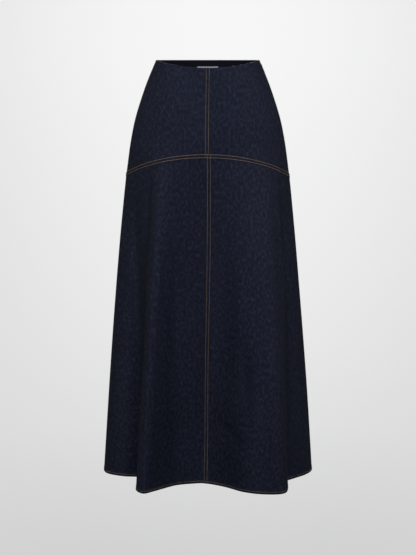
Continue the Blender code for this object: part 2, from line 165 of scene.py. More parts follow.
# Soft creases and ridges beside the folds. Each runs from its top to its bottom and is highest at
# peak, a share of the way down. A trough has a height below 0.
Crease = namedtuple("Crease", "place top_angle bottom_angle top bottom peak width height")
CREASES = (
    Crease("dimple right of the centre seam", -13, -9, 0.105, 0.190, 0.6, 0.018, -0.0012),
    Crease("hip, right", -58, -48, 0.060, 0.195, 0.6, 0.022, -0.0012),
    Crease("hip, left", 50, 60, 0.050, 0.180, 0.6, 0.024, -0.0009),
    Crease("crest of the right fold", -31.5, -40, 0.210, 0.900, 0.35, 0.013, 0.0072),
    Crease("outer foot of the right fold", -44, -58, 0.200, 0.640, 0.25, 0.017, -0.0075),
    Crease("inner foot of the right fold", -18, -19, 0.235, 0.860, 0.45, 0.017, -0.0070),
    Crease("front hollow", -8, -9, 0.225, 0.880, 0.62, 0.027, 0.0120),
    Crease("valley at the centre seam", 2.5, 3.5, 0.212, 0.780, 0.30, 0.014, -0.0045),
    Crease("crest of the left fold, upper", 21, 29, 0.215, 0.600, 0.42, 0.024, 0.0050),
    Crease("crest of the left fold, lower", 34, 38, 0.480, 0.920, 0.50, 0.022, 0.0055),
    Crease("inner slope of the left fold", 19.5, 21.5, 0.500, 0.920, 0.50, 0.020, -0.0070),
    Crease("outer crest of the left fold", 58, 57, 0.230, 0.760, 0.40, 0.015, 0.0050),
    Crease("outer foot of the left fold", 64, 76, 0.290, 0.840, 0.35, 0.016, -0.0065),
    Crease("slant above the hem", 6, 18, 0.800, 0.862, 0.5, 0.010, -0.0018),
    Crease("dent above the hem, left", 12, 14, 0.820, 0.890, 0.4, 0.016, -0.0014),
    Crease("dent above the hem, right", -28, -25, 0.800, 0.900, 0.4, 0.016, -0.0016),
    Crease("right side panel", -78, -80, 0.420, 0.800, 0.5, 0.018, -0.0016),
    Crease("left side, behind the seam", 108, 110, 0.300, 0.600, 0.5, 0.018, -0.0018),
    Crease("back hip, left", 128, 120, 0.080, 0.200, 0.5, 0.022, -0.0010),
    Crease("back hip, right", 228, 238, 0.090, 0.210, 0.5, 0.024, -0.0009),
    Crease("crest of the left back fold", 146, 150, 0.230, 0.900, 0.30, 0.020, 0.0040),
    Crease("inner side of the left back fold", 164, 162, 0.260, 0.820, 0.40, 0.020, -0.0040),
    Crease("crest of the right back fold", 204, 200, 0.240, 0.860, 0.35, 0.026, 0.0035),
    Crease("inner side of the right back fold", 188, 190, 0.300, 0.760, 0.40, 0.018, -0.0030),
    Crease("back, above the hem", 180, 172, 0.800, 0.880, 0.5, 0.012, -0.0014),
    Crease("right side, behind the seam", 250, 252, 0.380, 0.740, 0.5, 0.020, -0.0018),
)

# The cloth's slow waves: how many of each there are round the skirt, and the depths between which they
# grow.
WAVE_SEED = 5
WAVE_COUNTS = (3, 5, 7, 8, 11, 13, 17)
WAVES_GROW = (0.10, 0.80)

# How each panel is cut: its side edges and how each of its four edges is finished. grain is where
# its straight grain runs, as a share of the way round the panel, and None in a straight strip.
Cut = namedtuple("Cut", "start end start_edge end_edge top_edge bottom_edge grain", defaults=[None] * 5)
YOKES = {
    "front_yoke_right": Cut(-SIDE_SEAM, YOKE_CENTRE_SEAM, "open", "under", "waist", "under", 1.0),
    "front_yoke_left": Cut(YOKE_CENTRE_SEAM, SIDE_SEAM, "over", "zip", "waist", "under", 0.0),
    "back_yoke": Cut(SIDE_SEAM, FULL_TURN - SIDE_SEAM, "zip", "open", "waist", "under", 0.5),
}
SKIRTS = {
    "front_skirt_right": Cut(-SIDE_SEAM, SKIRT_CENTRE_SEAM, "open", "under", "over", "hem", 1.0),
    "front_skirt_left": Cut(SKIRT_CENTRE_SEAM, SIDE_SEAM, "over", "open", "over", "hem", 0.0),
    "back_skirt": Cut(SIDE_SEAM, FULL_TURN - SIDE_SEAM, "open", "open", "over", "hem", 0.5),
}
CUTS = {**YOKES, **SKIRTS}

# Distances from an edge at which the cloth has a line of points, and how far apart they are between.
NEAR_EDGE = np.array(
    (0, 0.2, 0.5, 0.9, 1.4, 2.0, 2.8, 3.8, 4.8, 5.6, 6.6, 8.0, 9.2, 10.4, 11.2, 11.8, 12.6, 14.0, 16.0, 18.5)
) / 1000
Spacing = namedtuple("Spacing", "near_edge column row metres_per_degree")
PANEL_SPACING = Spacing(NEAR_EDGE, 0.0046, 0.0036, 0.0035)
LABEL_SPACING = Spacing(NEAR_EDGE[:7], 0.0016, 0.0016, 0.0019)

# How far apart layers of cloth lie, and how far apart the two sides of a seam are.
LAYER_GAP = 0.0003
SEAM_GAP = 0.0001

# What is under a seam: the layers of one that is turned to a side, and of one that is pressed open.
TURNED_LAYERS = 0.0015
PRESSED_LAYERS = 0.0011

# The line at a seam, how much lower the panel under it lies, how soon the ridge over its layers rises,
# and how far from a panel's edges the gap at the seam and the wear reach.
SEAM_LINE = 0.0014
UNDER_DROP = 0.0002
RIDGE_START = 0.0011
SEAM_GAP_REACH = 0.006
WEAR_REACH = 0.0012

# The waist edge and the hem are turned in: the layer that the waist's turn adds and where it ends,
# how much the hem stands out, and the twist that pulls it into slanting ropes.
WAIST_LAYER = 0.0012
WAIST_TURN = (0.0014, 0.0022)
HEM_RIDGE = 0.0004
HEM_ROPING = 0.00018
HEM_ROPE_LENGTH = 0.0016

# Stitches sink into the cloth, which swells between two rows of them and puckers beside them.
PUCKER_LENGTH = 0.0021
PUCKER_REACH = 0.011
ROW_DENT = 0.00016
ROW_SWELL = 0.00022
HEM_DENT = 0.00022
ROW_HALF_WIDTH = 0.0009
HEM_ROW_HALF_WIDTH = 0.0010

# How far the centre seam's rows stop short of the ends of the yoke and of the skirt.
YOKE_ROWS_SHORT = 0.0018
SKIRT_ROWS_SHORT = 0.0030

# The zip in the left side seam: its ends, its tapes, and its opening, which is wider at the slider.
# Its coil lies COIL_INSIDE behind the denim, and its loops are turned COIL_SLANT from the seam.
ZIP_TOP = 0.003
ZIP_END = 0.232
ZIP_TAPE_WIDTH = 0.0112
ZIP_TAPE_THICKNESS = 0.0007
ZIP_OPENING = 0.0005
SLIDER_ROOM = 0.0011
SLIDER_HALF_LENGTH = 0.006
SLIDER_DEPTH = 0.010
COIL_FROM = 0.0165
COIL_TO = 0.2195
COIL_INSIDE = 0.0018
COIL_SLANT = 86

# Where the facings stop short of the zip, in degrees, and below the waist edge. Their lower edges
# are bound.
FRONT_FACING_END = 92.7
BACK_FACING_START = 107.6
FACING_START = 0.0022
FACING_BINDING = 0.0003
FACING_BINDING_END = (0.0045, 0.0052)

# The label, inside the back waist, with its two ends folded under and its middle bowed out.
LABEL_HALF_ANGLE = 11.4
LABEL_TOP = 0.012
LABEL_BOTTOM = 0.028
LABEL_THICKNESS = 0.0005
LABEL_GAP = 0.0008
LABEL_FOLD = 0.0003
LABEL_FOLD_END = (0.0048, 0.0054)
LABEL_BOW = 0.0007
LABEL_STITCHES_IN = 0.0022

# The weave: the picks to each yarn, the share of four picks in which the weft shows, and how many
# patches of each kind of unevenness there are in a metre across and along.
PICKS_PER_YARN = 0.6
FLECK_SHARE = 0.25
SLUBS_ALONG = 45.0
GRAIN = (170.0, 105.0)
CLOUDS = (16.0, 9.0)
PLAIN_UNEVENNESS = (500.0, 90.0)

# The warp where it is rubbed at the panels' edges.
RUBBED_INDIGO = (0.055, 0.063, 0.098)

# One panel as it hangs: its grid of points, their outward directions, angles and depths, how far each
# is from the panel's four edges, and where it lies when the panel is laid flat.
Panel = namedtuple("Panel", "points normals angles depths from_start from_end from_top from_bottom flat")


def length_setting(name, description, default, low=0.0, high=0.03):
    return FloatProperty(
        name=name, description=description, default=default, min=low, max=high, unit="LENGTH"
    )


def share_setting(name, description, default):
    return FloatProperty(name=name, description=description, default=default, min=0)


def power_setting(name, description, default):
    return FloatProperty(name=name, description=description, default=default, min=0, unit="POWER")


def colour_setting(name, description, default):
    return FloatVectorProperty(
        name=name, description=description, default=default, size=3, min=0, max=1, subtype="COLOR"
    )


class SkirtCloth(bpy.types.PropertyGroup):
    """Sizes of the cloth and of its seams."""

    denim: length_setting("Denim", "Thickness of the denim", 0.0012, 0.0006, 0.003)
    facing: length_setting("Facing", "Thickness of the facings", 0.0009, 0.0003, 0.002)
    allowance: length_setting("Seam allowance", "Width of the layers under a seam", 0.0112)
    ridge: length_setting("Seam ridge", "Height of a topstitched seam", 0.0006)
    valley: length_setting("Seam valley", "Depth of the line at a seam", 0.0005)
    pucker: length_setting("Puckers", "Height of the puckers along seams", 0.0003)
    hem: length_setting("Hem", "Depth of the turned hem", 0.0090, 0.004)
    hem_thickness: length_setting("Hem thickness", "Thickness of the turned hem", 0.0027)
    creases: share_setting("Creases", "How strongly the soft creases show", 1.0)
    waves: length_setting("Waves", "Height of the cloth's slow waves", 0.0006)


class SkirtStitching(bpy.types.PropertyGroup):
    """Sizes of the stitching."""

    pitch: length_setting("Pitch", "Distance from stitch to stitch", 0.0032, 0.001)
    length: length_setting("Stitch", "Length of thread that shows", 0.0028, 0.0005)
    thread: length_setting("Thread", "Thickness of the topstitching thread", 0.00068)
    first_row: length_setting("First row", "From the seam to the first row", 0.0021)
    row_gap: length_setting("Between rows", "From the first row to the second", 0.0066)
    hem_row: length_setting("Hem row", "From the hem's edge to its row", 0.0055)
    seed: IntProperty(name="Seed", description="Changes how the stitches vary", default=11, min=0)


class SkirtColours(bpy.types.PropertyGroup):
    """Colours of the cloth, thread and fittings."""

    warp: colour_setting("Warp", "Indigo of the denim's outside", (0.0062, 0.0080, 0.0182))
    weft: colour_setting("Weft", "Flecks between the indigo yarns", (0.046, 0.049, 0.066))
    thread: colour_setting("Thread", "Gold topstitching thread", (0.52, 0.365, 0.165))
    facing: colour_setting("Facing", "Cotton of the facings", (0.0100, 0.0108, 0.0180))
    label: colour_setting("Label", "Satin of the label", (0.52, 0.53, 0.66))
    zip_tape: colour_setting("Zip tape", "Woven tape and coil of the zip", (0.010, 0.012, 0.024))
    enamel: colour_setting("Enamel", "Lacquer of the slider and tab", (0.014, 0.016, 0.030))


class SkirtStudio(bpy.types.PropertyGroup):
    """The studio's light and paper."""

    key: power_setting("Key", "Power of the front light", 133)
    sides: power_setting("Sides", "Power of each side light", 4)
    back: power_setting("Back", "Power of the light behind", 60)
    air: share_setting("Air", "Strength of the even light all round", 0.07)
    # The paper glows with painted light: its colour, and how much painted shade darkens it forwards, near
    # the skirt and beside the painted pools of light.
    paper: colour_setting("Paper", "Pale paper of floor and backdrop", (0.922, 0.922, 0.925))
    fade: share_setting("Fade", "How much the paper darkens per metre forwards", 0.039)
    near_painted_fade: share_setting("Near fade", "How much more it darkens per metre near the skirt", 0.026)
    pools: share_setting("Pools", "How much the paper darkens beside a pool of light", 0.2)


# The skirt's surface


def ease(low, high, x):
    """A soft step, 0 up to low and 1 from high."""
    t = np.clip((x - low) / (high - low), 0, 1)
    return t * t * (3 - 2 * t)


def smooth_curve(knots, values, at):
    """A smooth curve through the values, with each slope taken from its two neighbours."""
    knots, values = np.array(knots, float), np.array(values, float)
    gaps = np.diff(knots)
    rises = np.diff(values) / gaps
    inner = (rises[:-1] * gaps[1:] + rises[1:] * gaps[:-1]) / (gaps[:-1] + gaps[1:])
    slopes = np.concatenate((rises[:1], inner, rises[-1:]))
    k = np.clip(np.searchsorted(knots, at, side="right") - 1, 0, len(knots) - 2)
    span = gaps[k]
    t = (at - knots[k]) / span
    return (
        (2 * t**3 - 3 * t**2 + 1) * values[k]
        + (t**3 - 2 * t**2 + t) * span * slopes[k]
        + (3 * t**2 - 2 * t**3) * values[k + 1]
        + (t**3 - t**2) * span * slopes[k + 1]
    )


def oval_points(angle, depth):
    """The skirt's surface without its folds."""
    depths = [section.depth for section in SECTIONS]
    half_width = smooth_curve(depths, [section.half_width for section in SECTIONS], depth)
    front = smooth_curve(depths, [section.front for section in SECTIONS], depth)
    back = smooth_curve(depths, [section.back for section in SECTIONS], depth)
    turn = np.radians(angle)
    reach = np.where(np.cos(turn) > 0, front, back)
    return np.stack((half_width * np.sin(turn), -reach * np.cos(turn), -depth), axis=-1)


def hem_points(angle):
    """The folded hem, as a closed curve through the points of HEM."""
    turns = (-FULL_TURN, 0, FULL_TURN)
    around = [point._replace(angle=point.angle + turn) for turn in turns for point in HEM]
    angles = [point.angle for point in around]
    wrapped = (angle - HEM[0].angle) % FULL_TURN + HEM[0].angle
    x = smooth_curve(angles, [point.x for point in around], wrapped)
    y = smooth_curve(angles, [point.y for point in around], wrapped)
    return np.stack((x, y, np.full_like(x, -SKIRT_LENGTH)), axis=-1)


def skirt_points(angle, depth):
    """The skirt's surface: the oval, pushed towards the folded hem more and more with depth."""
    share = np.clip((depth - FOLDS_START) / (SKIRT_LENGTH - FOLDS_START), 0, 1)
    opened = share * share * (1 + FOLD_SOFT_START) / (share + FOLD_SOFT_START)
    fullness = 1 - (1 - opened) ** FOLD_HANG
    from_centre_front = (angle + CENTRE_BACK) % FULL_TURN - CENTRE_BACK
    leaning = angle.copy()
    for lean in LEANS:
        nearness = np.exp(-(((from_centre_front - lean.angle) / lean.reach) ** 2))
        leaning -= lean.turn * np.sin(np.pi * share**lean.rise) * nearness
    folds = hem_points(leaning) - oval_points(leaning, np.full_like(depth, SKIRT_LENGTH))
    points = oval_points(angle, depth) + fullness[..., None] * folds
    nearness = np.exp(-((from_centre_front / SEAM_SWAY_REACH) ** 2))
    points[..., 0] += SEAM_SWAY * np.sin(np.pi * share) * nearness
    return points


def skirt_normals(angle, depth):
    """The surface's outward directions."""
    around = skirt_points(angle + 0.25, depth) - skirt_points(angle - 0.25, depth)
    down = skirt_points(angle, depth + 0.001) - skirt_points(angle, depth - 0.001)
    normals = np.cross(down, around)
    return normals / np.linalg.norm(normals, axis=-1, keepdims=True)


def waist_edge(angle):
    """Depth of the top edge, level at the back and dipping across the front."""
    return FRONT_DIP * np.clip(np.cos(np.radians(angle)), 0, None) ** 2 - WAIST_RISE


def yoke_seam(angle):
    """Depth of the arched seam between yoke and skirt, lowest at the side seams."""
    from_centre_front = np.abs((angle + CENTRE_BACK) % FULL_TURN - CENTRE_BACK)
    in_front = from_centre_front / SIDE_SEAM
    behind = (CENTRE_BACK - from_centre_front) / (CENTRE_BACK - SIDE_SEAM)
    share = np.where(from_centre_front <= SIDE_SEAM, in_front, behind)
    arch = YOKE_DROP * np.sin(np.pi / 2 * YOKE_ARCH * share) ** 2
    return YOKE_AT_CENTRE + arch + YOKE_LEAN * np.sin(np.radians(angle))


def crease_heights(points, angle, depth):
    """How far the creases lift or sink the cloth."""
    radius = np.hypot(points[..., 0], points[..., 1])
    height = np.zeros_like(depth)
    for crease in CREASES:
        share = np.clip((depth - crease.top) / (crease.bottom - crease.top), 0, 1)
        middle = crease.top_angle + (crease.bottom_angle - crease.top_angle) * share
        turned = (angle - middle + CENTRE_BACK) % FULL_TURN - CENTRE_BACK
        aside = np.radians(turned) * radius
        along = ease(0, crease.peak, share) * (1 - ease(crease.peak, 1, share))
        height += crease.height * along * np.exp(-((aside / crease.width) ** 2))
    return height


def wave_heights(angle, depth):
    """Slow, uneven waves, stronger lower down, as in cloth that hangs."""
    draw = np.random.default_rng(WAVE_SEED)
    height = np.zeros_like(depth)
    for count in WAVE_COUNTS:
        lean, phase, drift = draw.uniform(-4, 4), draw.uniform(0, 2 * np.pi), draw.uniform(5, 9)
        wave = np.sin(np.radians(angle) * count + lean * depth + phase)
        height += wave * np.sin(depth * drift + phase) * 3 / count
    return height * ease(*WAVES_GROW, depth)


# Panels


def spaced(first, last, near_edge, step):
    """Values from first to last, close together near both ends and about a step apart between."""
    count = max(2, int(np.ceil(np.max((last - first - 2 * near_edge[-1]) / step))))
    middle = [
        (first + near_edge[-1]) * (1 - share) + (last - near_edge[-1]) * share
        for share in np.arange(1, count) / count
    ]
    return [first + d for d in near_edge] + middle + [last - d for d in near_edge[::-1]]


def walked(points, axis):
    """How far each point is along a grid from its first line of points."""
    steps = np.linalg.norm(np.diff(points, axis=axis), axis=-1)
    start = np.zeros_like(np.take(steps, [0], axis=axis))
    return np.concatenate((start, np.cumsum(steps, axis=axis)), axis=axis)


def zip_gap(depth):
    """How far apart the edges at the zip stand: closed, but for room round the slider."""
    return ZIP_OPENING + SLIDER_ROOM * np.exp(-(((depth - SLIDER_DEPTH) / SLIDER_HALF_LENGTH) ** 2))


def laid_flat(across, down, grain):
    """Where each point lies when the panel is laid flat, with its straight grain upright."""
    width = across[-1].copy()
    from_grain = across - grain * width
    length = down[:, -1].mean()
    flare = (width[-1] - width[0]) / length
    radius = down + width[0] / flare
    turn = from_grain / radius
    return np.stack((radius * np.sin(turn), -radius * np.cos(turn)), axis=-1)


def straight_flat(across, down):
    """Where each point lies when a strip that hardly flares is laid flat."""
    return np.stack((across, -down), axis=-1)


def hang_panel(cut, top, bottom, spacing=PANEL_SPACING):
    """A Panel between two side edges. top and bottom give its depths at an angle."""
    near_edge, per_degree = spacing.near_edge, spacing.metres_per_degree
    angles = np.array(spaced(cut.start, cut.end, near_edge / per_degree, spacing.column / per_degree))
    depths = np.array(spaced(top(angles), bottom(angles), near_edge, spacing.row)).T
    angles = np.repeat(angles[:, None], depths.shape[1], axis=1)
    points = skirt_points(angles, depths)
    across, down = walked(points, 0), walked(points, 1)
    return Panel(
        points,
        skirt_normals(angles, depths),
        angles,
        depths,
        across,
        across[-1] - across,
        down,
        down[:, -1:] - down,
        straight_flat(across, down) if cut.grain is None else laid_flat(across, down, cut.grain),
    )


def level(depth):
    """An edge at the same depth all round."""
    return lambda angle: np.full_like(angle, depth)


def below_waist(depth):
    """An edge that keeps its depth below the waist edge."""
    return lambda angle: waist_edge(angle) + depth


def hang_named_panel(name):
    """The Panel of one of the yoke's or the skirt's pieces."""
    if name in YOKES:
        return hang_panel(YOKES[name], waist_edge, yoke_seam)
    return hang_panel(SKIRTS[name], yoke_seam, level(SKIRT_LENGTH))


def lifted(points, normals, height):
    """Points moved outwards by a height, or inwards by one below 0."""
    return points + normals * height[..., None]


def rolled(thickness, distance):
    """How far a rounded edge's faces draw in towards its middle."""
    radius = thickness / 2
    inside = np.clip(1 - distance / radius, 0, 1)
    return (radius - 0.0001) * (1 - np.sqrt(1 - inside**2))


def puckers(distance, along, cloth):
    """Small uneven ripples that a row of stitching draws up beside it."""
    wander = 1.3 * np.sin(along / 0.0270) + 0.9 * np.sin(along / 0.0113 + 2.0)
    strength = 0.65 + 0.35 * np.sin(along / 0.041 + 1.0)
    ripple = np.sin(along / PUCKER_LENGTH + wander)
    return cloth.pucker * strength * ripple * np.exp(-distance / PUCKER_REACH)


def row_mark(distance, row, half_width):
    """Where a row of stitches presses the cloth, 1 at the row."""
    return np.exp(-(((distance - row) / half_width) ** 2))


def edge_relief(kind, distance, along, cloth, sewn):
    """What an edge's finish adds: how far it lifts the outer face and thickens the inner one."""
    nothing = 0 * distance
    layers = 1 - ease(cloth.allowance - 0.0004, cloth.allowance + 0.0004, distance)
    dip = cloth.valley * (1 - ease(0, SEAM_LINE, distance))
    ripples = puckers(distance, along, cloth)
    if kind == "over":
        ridge_end = ease(cloth.allowance - 0.0016, cloth.allowance + 0.0024, distance)
        raised = ease(0, RIDGE_START, distance) * (1 - ridge_end)
        between_rows = np.clip((distance - sewn.first_row) / sewn.row_gap, 0, 1)
        rows = (sewn.first_row, sewn.first_row + sewn.row_gap)
        pressed = ROW_DENT * sum(row_mark(distance, row, ROW_HALF_WIDTH) for row in rows)
        lift = cloth.ridge * raised - dip + ROW_SWELL * np.sin(np.pi * between_rows) - pressed
        return lift + ripples, TURNED_LAYERS * layers
    if kind == "under":
        return ripples - dip - UNDER_DROP, nothing
    if kind == "open":
        return 0.4 * ripples - dip, PRESSED_LAYERS * layers
    if kind == "zip":
        return -rolled(2 * cloth.denim, distance), nothing
    if kind == "waist":
        turned = 1 - ease(*WAIST_TURN, distance)
        edge = rolled(cloth.denim + WAIST_LAYER, distance)
        return 0.3 * ripples - edge, WAIST_LAYER * turned - edge
    turned = 1 - ease(cloth.hem - 0.0003, cloth.hem + 0.0005, distance)
    edge = rolled(cloth.hem_thickness, distance)
    slant = (along + 0.8 * distance) / HEM_ROPE_LENGTH
    roping = HEM_ROPING * np.sin(slant + np.sin(along / 0.013)) * turned
    raised = HEM_RIDGE * (1 - ease(cloth.hem - 0.001, cloth.hem + 0.002, distance))
    lift = raised + roping - HEM_DENT * row_mark(distance, sewn.hem_row, HEM_ROW_HALF_WIDTH)
    spare = cloth.hem_thickness - cloth.denim - HEM_RIDGE
    return lift - edge, spare * turned - edge


def panel_faces(name, panel, cloth, sewn):
    """The outer and inner faces of a panel as grids of points, and where its edges are worn."""
    cut = CUTS[name]
    shape = cloth.creases * crease_heights(panel.points, panel.angles, panel.depths)
    shape += cloth.waves * wave_heights(panel.angles, panel.depths)
    lift = np.zeros_like(shape)
    layers = np.zeros_like(shape)
    under_facing = 1.0
    if name in YOKES:
        under_facing = ease(FACING_DEPTH + 0.002, FACING_DEPTH + 0.008, panel.from_top)
    sides = (
        (cut.start_edge, panel.from_start, panel.from_top),
        (cut.end_edge, panel.from_end, panel.from_top),
        (cut.top_edge, panel.from_top, panel.from_start),
        (cut.bottom_edge, panel.from_bottom, panel.from_start),
    )
    for kind, distance, along in sides:
        raised, thicker = edge_relief(kind, distance, along, cloth, sewn)
        lift += raised
        if kind in ("over", "open"):
            layers = np.maximum(layers, thicker * under_facing)
        else:
            layers = layers + thicker
    points = panel.points.copy()
    around = np.gradient(panel.points, axis=0)
    around /= np.linalg.norm(around, axis=-1, keepdims=True)
    for kind, distance, way in ((cut.start_edge, panel.from_start, 1), (cut.end_edge, panel.from_end, -1)):
        gap = zip_gap(panel.depths) if kind == "zip" else SEAM_GAP
        points += around * (way * gap / 2 * (1 - ease(0, SEAM_GAP_REACH, distance)))[..., None]
    outer = lifted(points, panel.normals, shape + lift)
    inner = lifted(points, panel.normals, shape - cloth.denim - layers)
    nearest = np.minimum.reduce([distance for _, distance, _ in sides])
    return outer, inner, np.exp(-nearest / WEAR_REACH)


def shell_mesh(name, outer, inner, flat, wear):
    """A closed wall between two grids of points, with its flat cut as its UV map."""
    columns, rows = outer.shape[:2]
    count = columns * rows
    index = np.arange(count).reshape(columns, rows)
    corners = (index[:-1, :-1], index[:-1, 1:], index[1:, 1:], index[1:, :-1])
    outside = np.stack(corners, axis=-1).reshape(-1, 4)
    inside = outside[:, ::-1] + count
    edges = (index[:, 0], index[-1, :], index[::-1, -1], index[0, ::-1])
    rims = [np.stack((e[:-1], e[1:], e[1:] + count, e[:-1] + count), axis=-1) for e in edges]
    faces = np.concatenate([outside, inside, *rims])
    points = np.concatenate((outer.reshape(-1, 3), inner.reshape(-1, 3)))
    mesh = bpy.data.meshes.new(name)
    mesh.from_pydata(points.tolist(), [], faces.tolist())
    slots = np.repeat((0, 1, 0), (len(outside), len(inside), len(faces) - 2 * len(outside)))
    mesh.polygons.foreach_set("material_index", slots)
    places = np.tile(flat.reshape(-1, 2), (2, 1))[faces.ravel()]
    mesh.uv_layers.new(name="flat_cut").data.foreach_set("uv", places.ravel())
    worn = mesh.attributes.new("wear", "FLOAT", "POINT")
    worn.data.foreach_set("value", np.tile(wear.ravel(), 2))
    mesh.shade_smooth()
    mesh.set_sharp_from_angle(angle=math.radians(65))
    return mesh


def new_piece(name, mesh, materials, body="skirt"):
    """Puts a finished mesh into the scene on its body."""
    for material in materials:
        mesh.materials.append(material)
    piece = bpy.data.objects.new(name, mesh)
    bpy.context.scene.collection.objects.link(piece)
    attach(piece, body)
    return piece


def hang_cloth(node, faces, flat, materials, wear=None):
    """A sheet of cloth in place of its CAD node, between its outer and inner faces."""
    name = node + "_cloth"
    outer, inner = faces
    wear = np.zeros(outer.shape[:2]) if wear is None else wear
    piece = new_piece(name, shell_mesh(name, outer, inner, flat, wear), materials)
    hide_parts(node)
    return piece


def strip_between(panel, low_distance, high_distance, distances_from, depths, steps):
    """Points and outward directions of a strip along a panel's side edge."""
    wanted = np.linspace(low_distance, high_distance, steps)
    points, normals = [], []
    rows = np.arange(panel.depths.shape[1])
    for distance in wanted:
        columns = [np.interp(distance, *in_order(distances_from[:, row])) for row in rows]
        points.append(at_places(panel.points, columns, rows, depths, panel.depths))
        normals.append(at_places(panel.normals, columns, rows, depths, panel.depths))
    return np.array(points), np.array(normals)


def in_order(distances):
    """Distances that rise, with the column of each, for interpolation."""
    columns = np.arange(len(distances), dtype=float)
    if distances[0] > distances[-1]:
        return distances[::-1], columns[::-1]
    return distances, columns


def at_places(values, columns, rows, depths, panel_depths):
    """Values at fractional columns of each row, read again at the wanted depths."""
    places = list(zip(rows, columns))
    line = np.array([between(values[:, row], column) for row, column in places])
    line_depths = np.array([between(panel_depths[:, row], column) for row, column in places])
    return np.stack([np.interp(depths, line_depths, line[:, k]) for k in range(3)], axis=-1)


def between(values, place):
    """The value at a fractional place in a list."""
    k = int(min(place, len(values) - 2))
    return values[k] * (1 - (place - k)) + values[k + 1] * (place - k)


# Materials


class Nodes:
    """Short ways to add nodes to one tree and to link them."""

    def __init__(self, tree):
        self.tree = tree

    def feed(self, socket, value):
        if isinstance(value, bpy.types.NodeSocket):
            self.tree.links.new(value, socket)
        else:
            socket.default_value = value

    def add(self, kind, inputs=(), **settings):
        node = self.tree.nodes.new(kind)
        for key, value in settings.items():
            setattr(node, key, value)
        for key, value in dict(inputs).items():
            self.feed(node.inputs[key], value)
        return node

    def maths(self, operation, *values):
        return self.add("ShaderNodeMath", dict(enumerate(values)), operation=operation).outputs[0]

    def plus(self, a, b):
        return self.maths("ADD", a, b)

    def minus(self, a, b):
        return self.maths("SUBTRACT", a, b)

    def times(self, a, b):
        return self.maths("MULTIPLY", a, b)

    def times_plus(self, a, b, c):
        """a times b, plus c."""
        return self.maths("MULTIPLY_ADD", a, b, c)

    def sine(self, turn):
        return self.maths("SINE", turn)

    def vector(self, x=0.0, y=0.0, z=0.0):
        return self.add("ShaderNodeCombineXYZ", {"X": x, "Y": y, "Z": z}).outputs[0]

    def axes(self, vector):
        return self.add("ShaderNodeSeparateXYZ", {0: vector}).outputs

    def uv(self, name):
        return self.add("ShaderNodeUVMap", uv_map=name).outputs[0]

    def noise(self, vector, detail=2.0, roughness=0.5):
        """Soft noise round 0, from about -1 to 1."""
        inputs = {"Vector": vector, "Scale": 1.0, "Detail": detail, "Roughness": roughness}
        value = self.add("ShaderNodeTexNoise", inputs).outputs["Fac"]
        return self.times_plus(value, 2.0, -1.0)

    def patches(self, place, per_metre, seed=0.0, **settings):
        """Noise with so many patches per metre across and along."""
        x, y = self.times(place["X"], per_metre[0]), self.times(place["Y"], per_metre[1])
        return self.noise(self.vector(x, y, seed), **settings)

    def mix(self, share, a, b):
        """A colour between two. These three sockets are the ones that colours use."""
        node = self.add("ShaderNodeMix", {0: share, 6: a, 7: b}, data_type="RGBA", clamp_factor=True)
        return node.outputs[2]

    def scaled(self, colour, by):
        inputs = {0: colour, "Scale": by}
        return self.add("ShaderNodeVectorMath", inputs, operation="SCALE").outputs[0]


def new_group(kind, name, inputs, outputs):
    """A node group with named inputs and outputs. Each input is (name, socket type, default)."""
    tree = bpy.data.node_groups.new(name, kind)
    for label, socket_type, default in inputs:
        socket = tree.interface.new_socket(label, in_out="INPUT", socket_type=socket_type)
        if default is not None:
            socket.default_value = default
    for label, socket_type in outputs:
        tree.interface.new_socket(label, in_out="OUTPUT", socket_type=socket_type)
    nodes = Nodes(tree)
    return nodes, nodes.add("NodeGroupInput").outputs, nodes.add("NodeGroupOutput").inputs


CLOTH_OUTPUTS = (
    ("Color", "NodeSocketColor"),
    ("Roughness", "NodeSocketFloat"),
    ("Height", "NodeSocketFloat"),
)


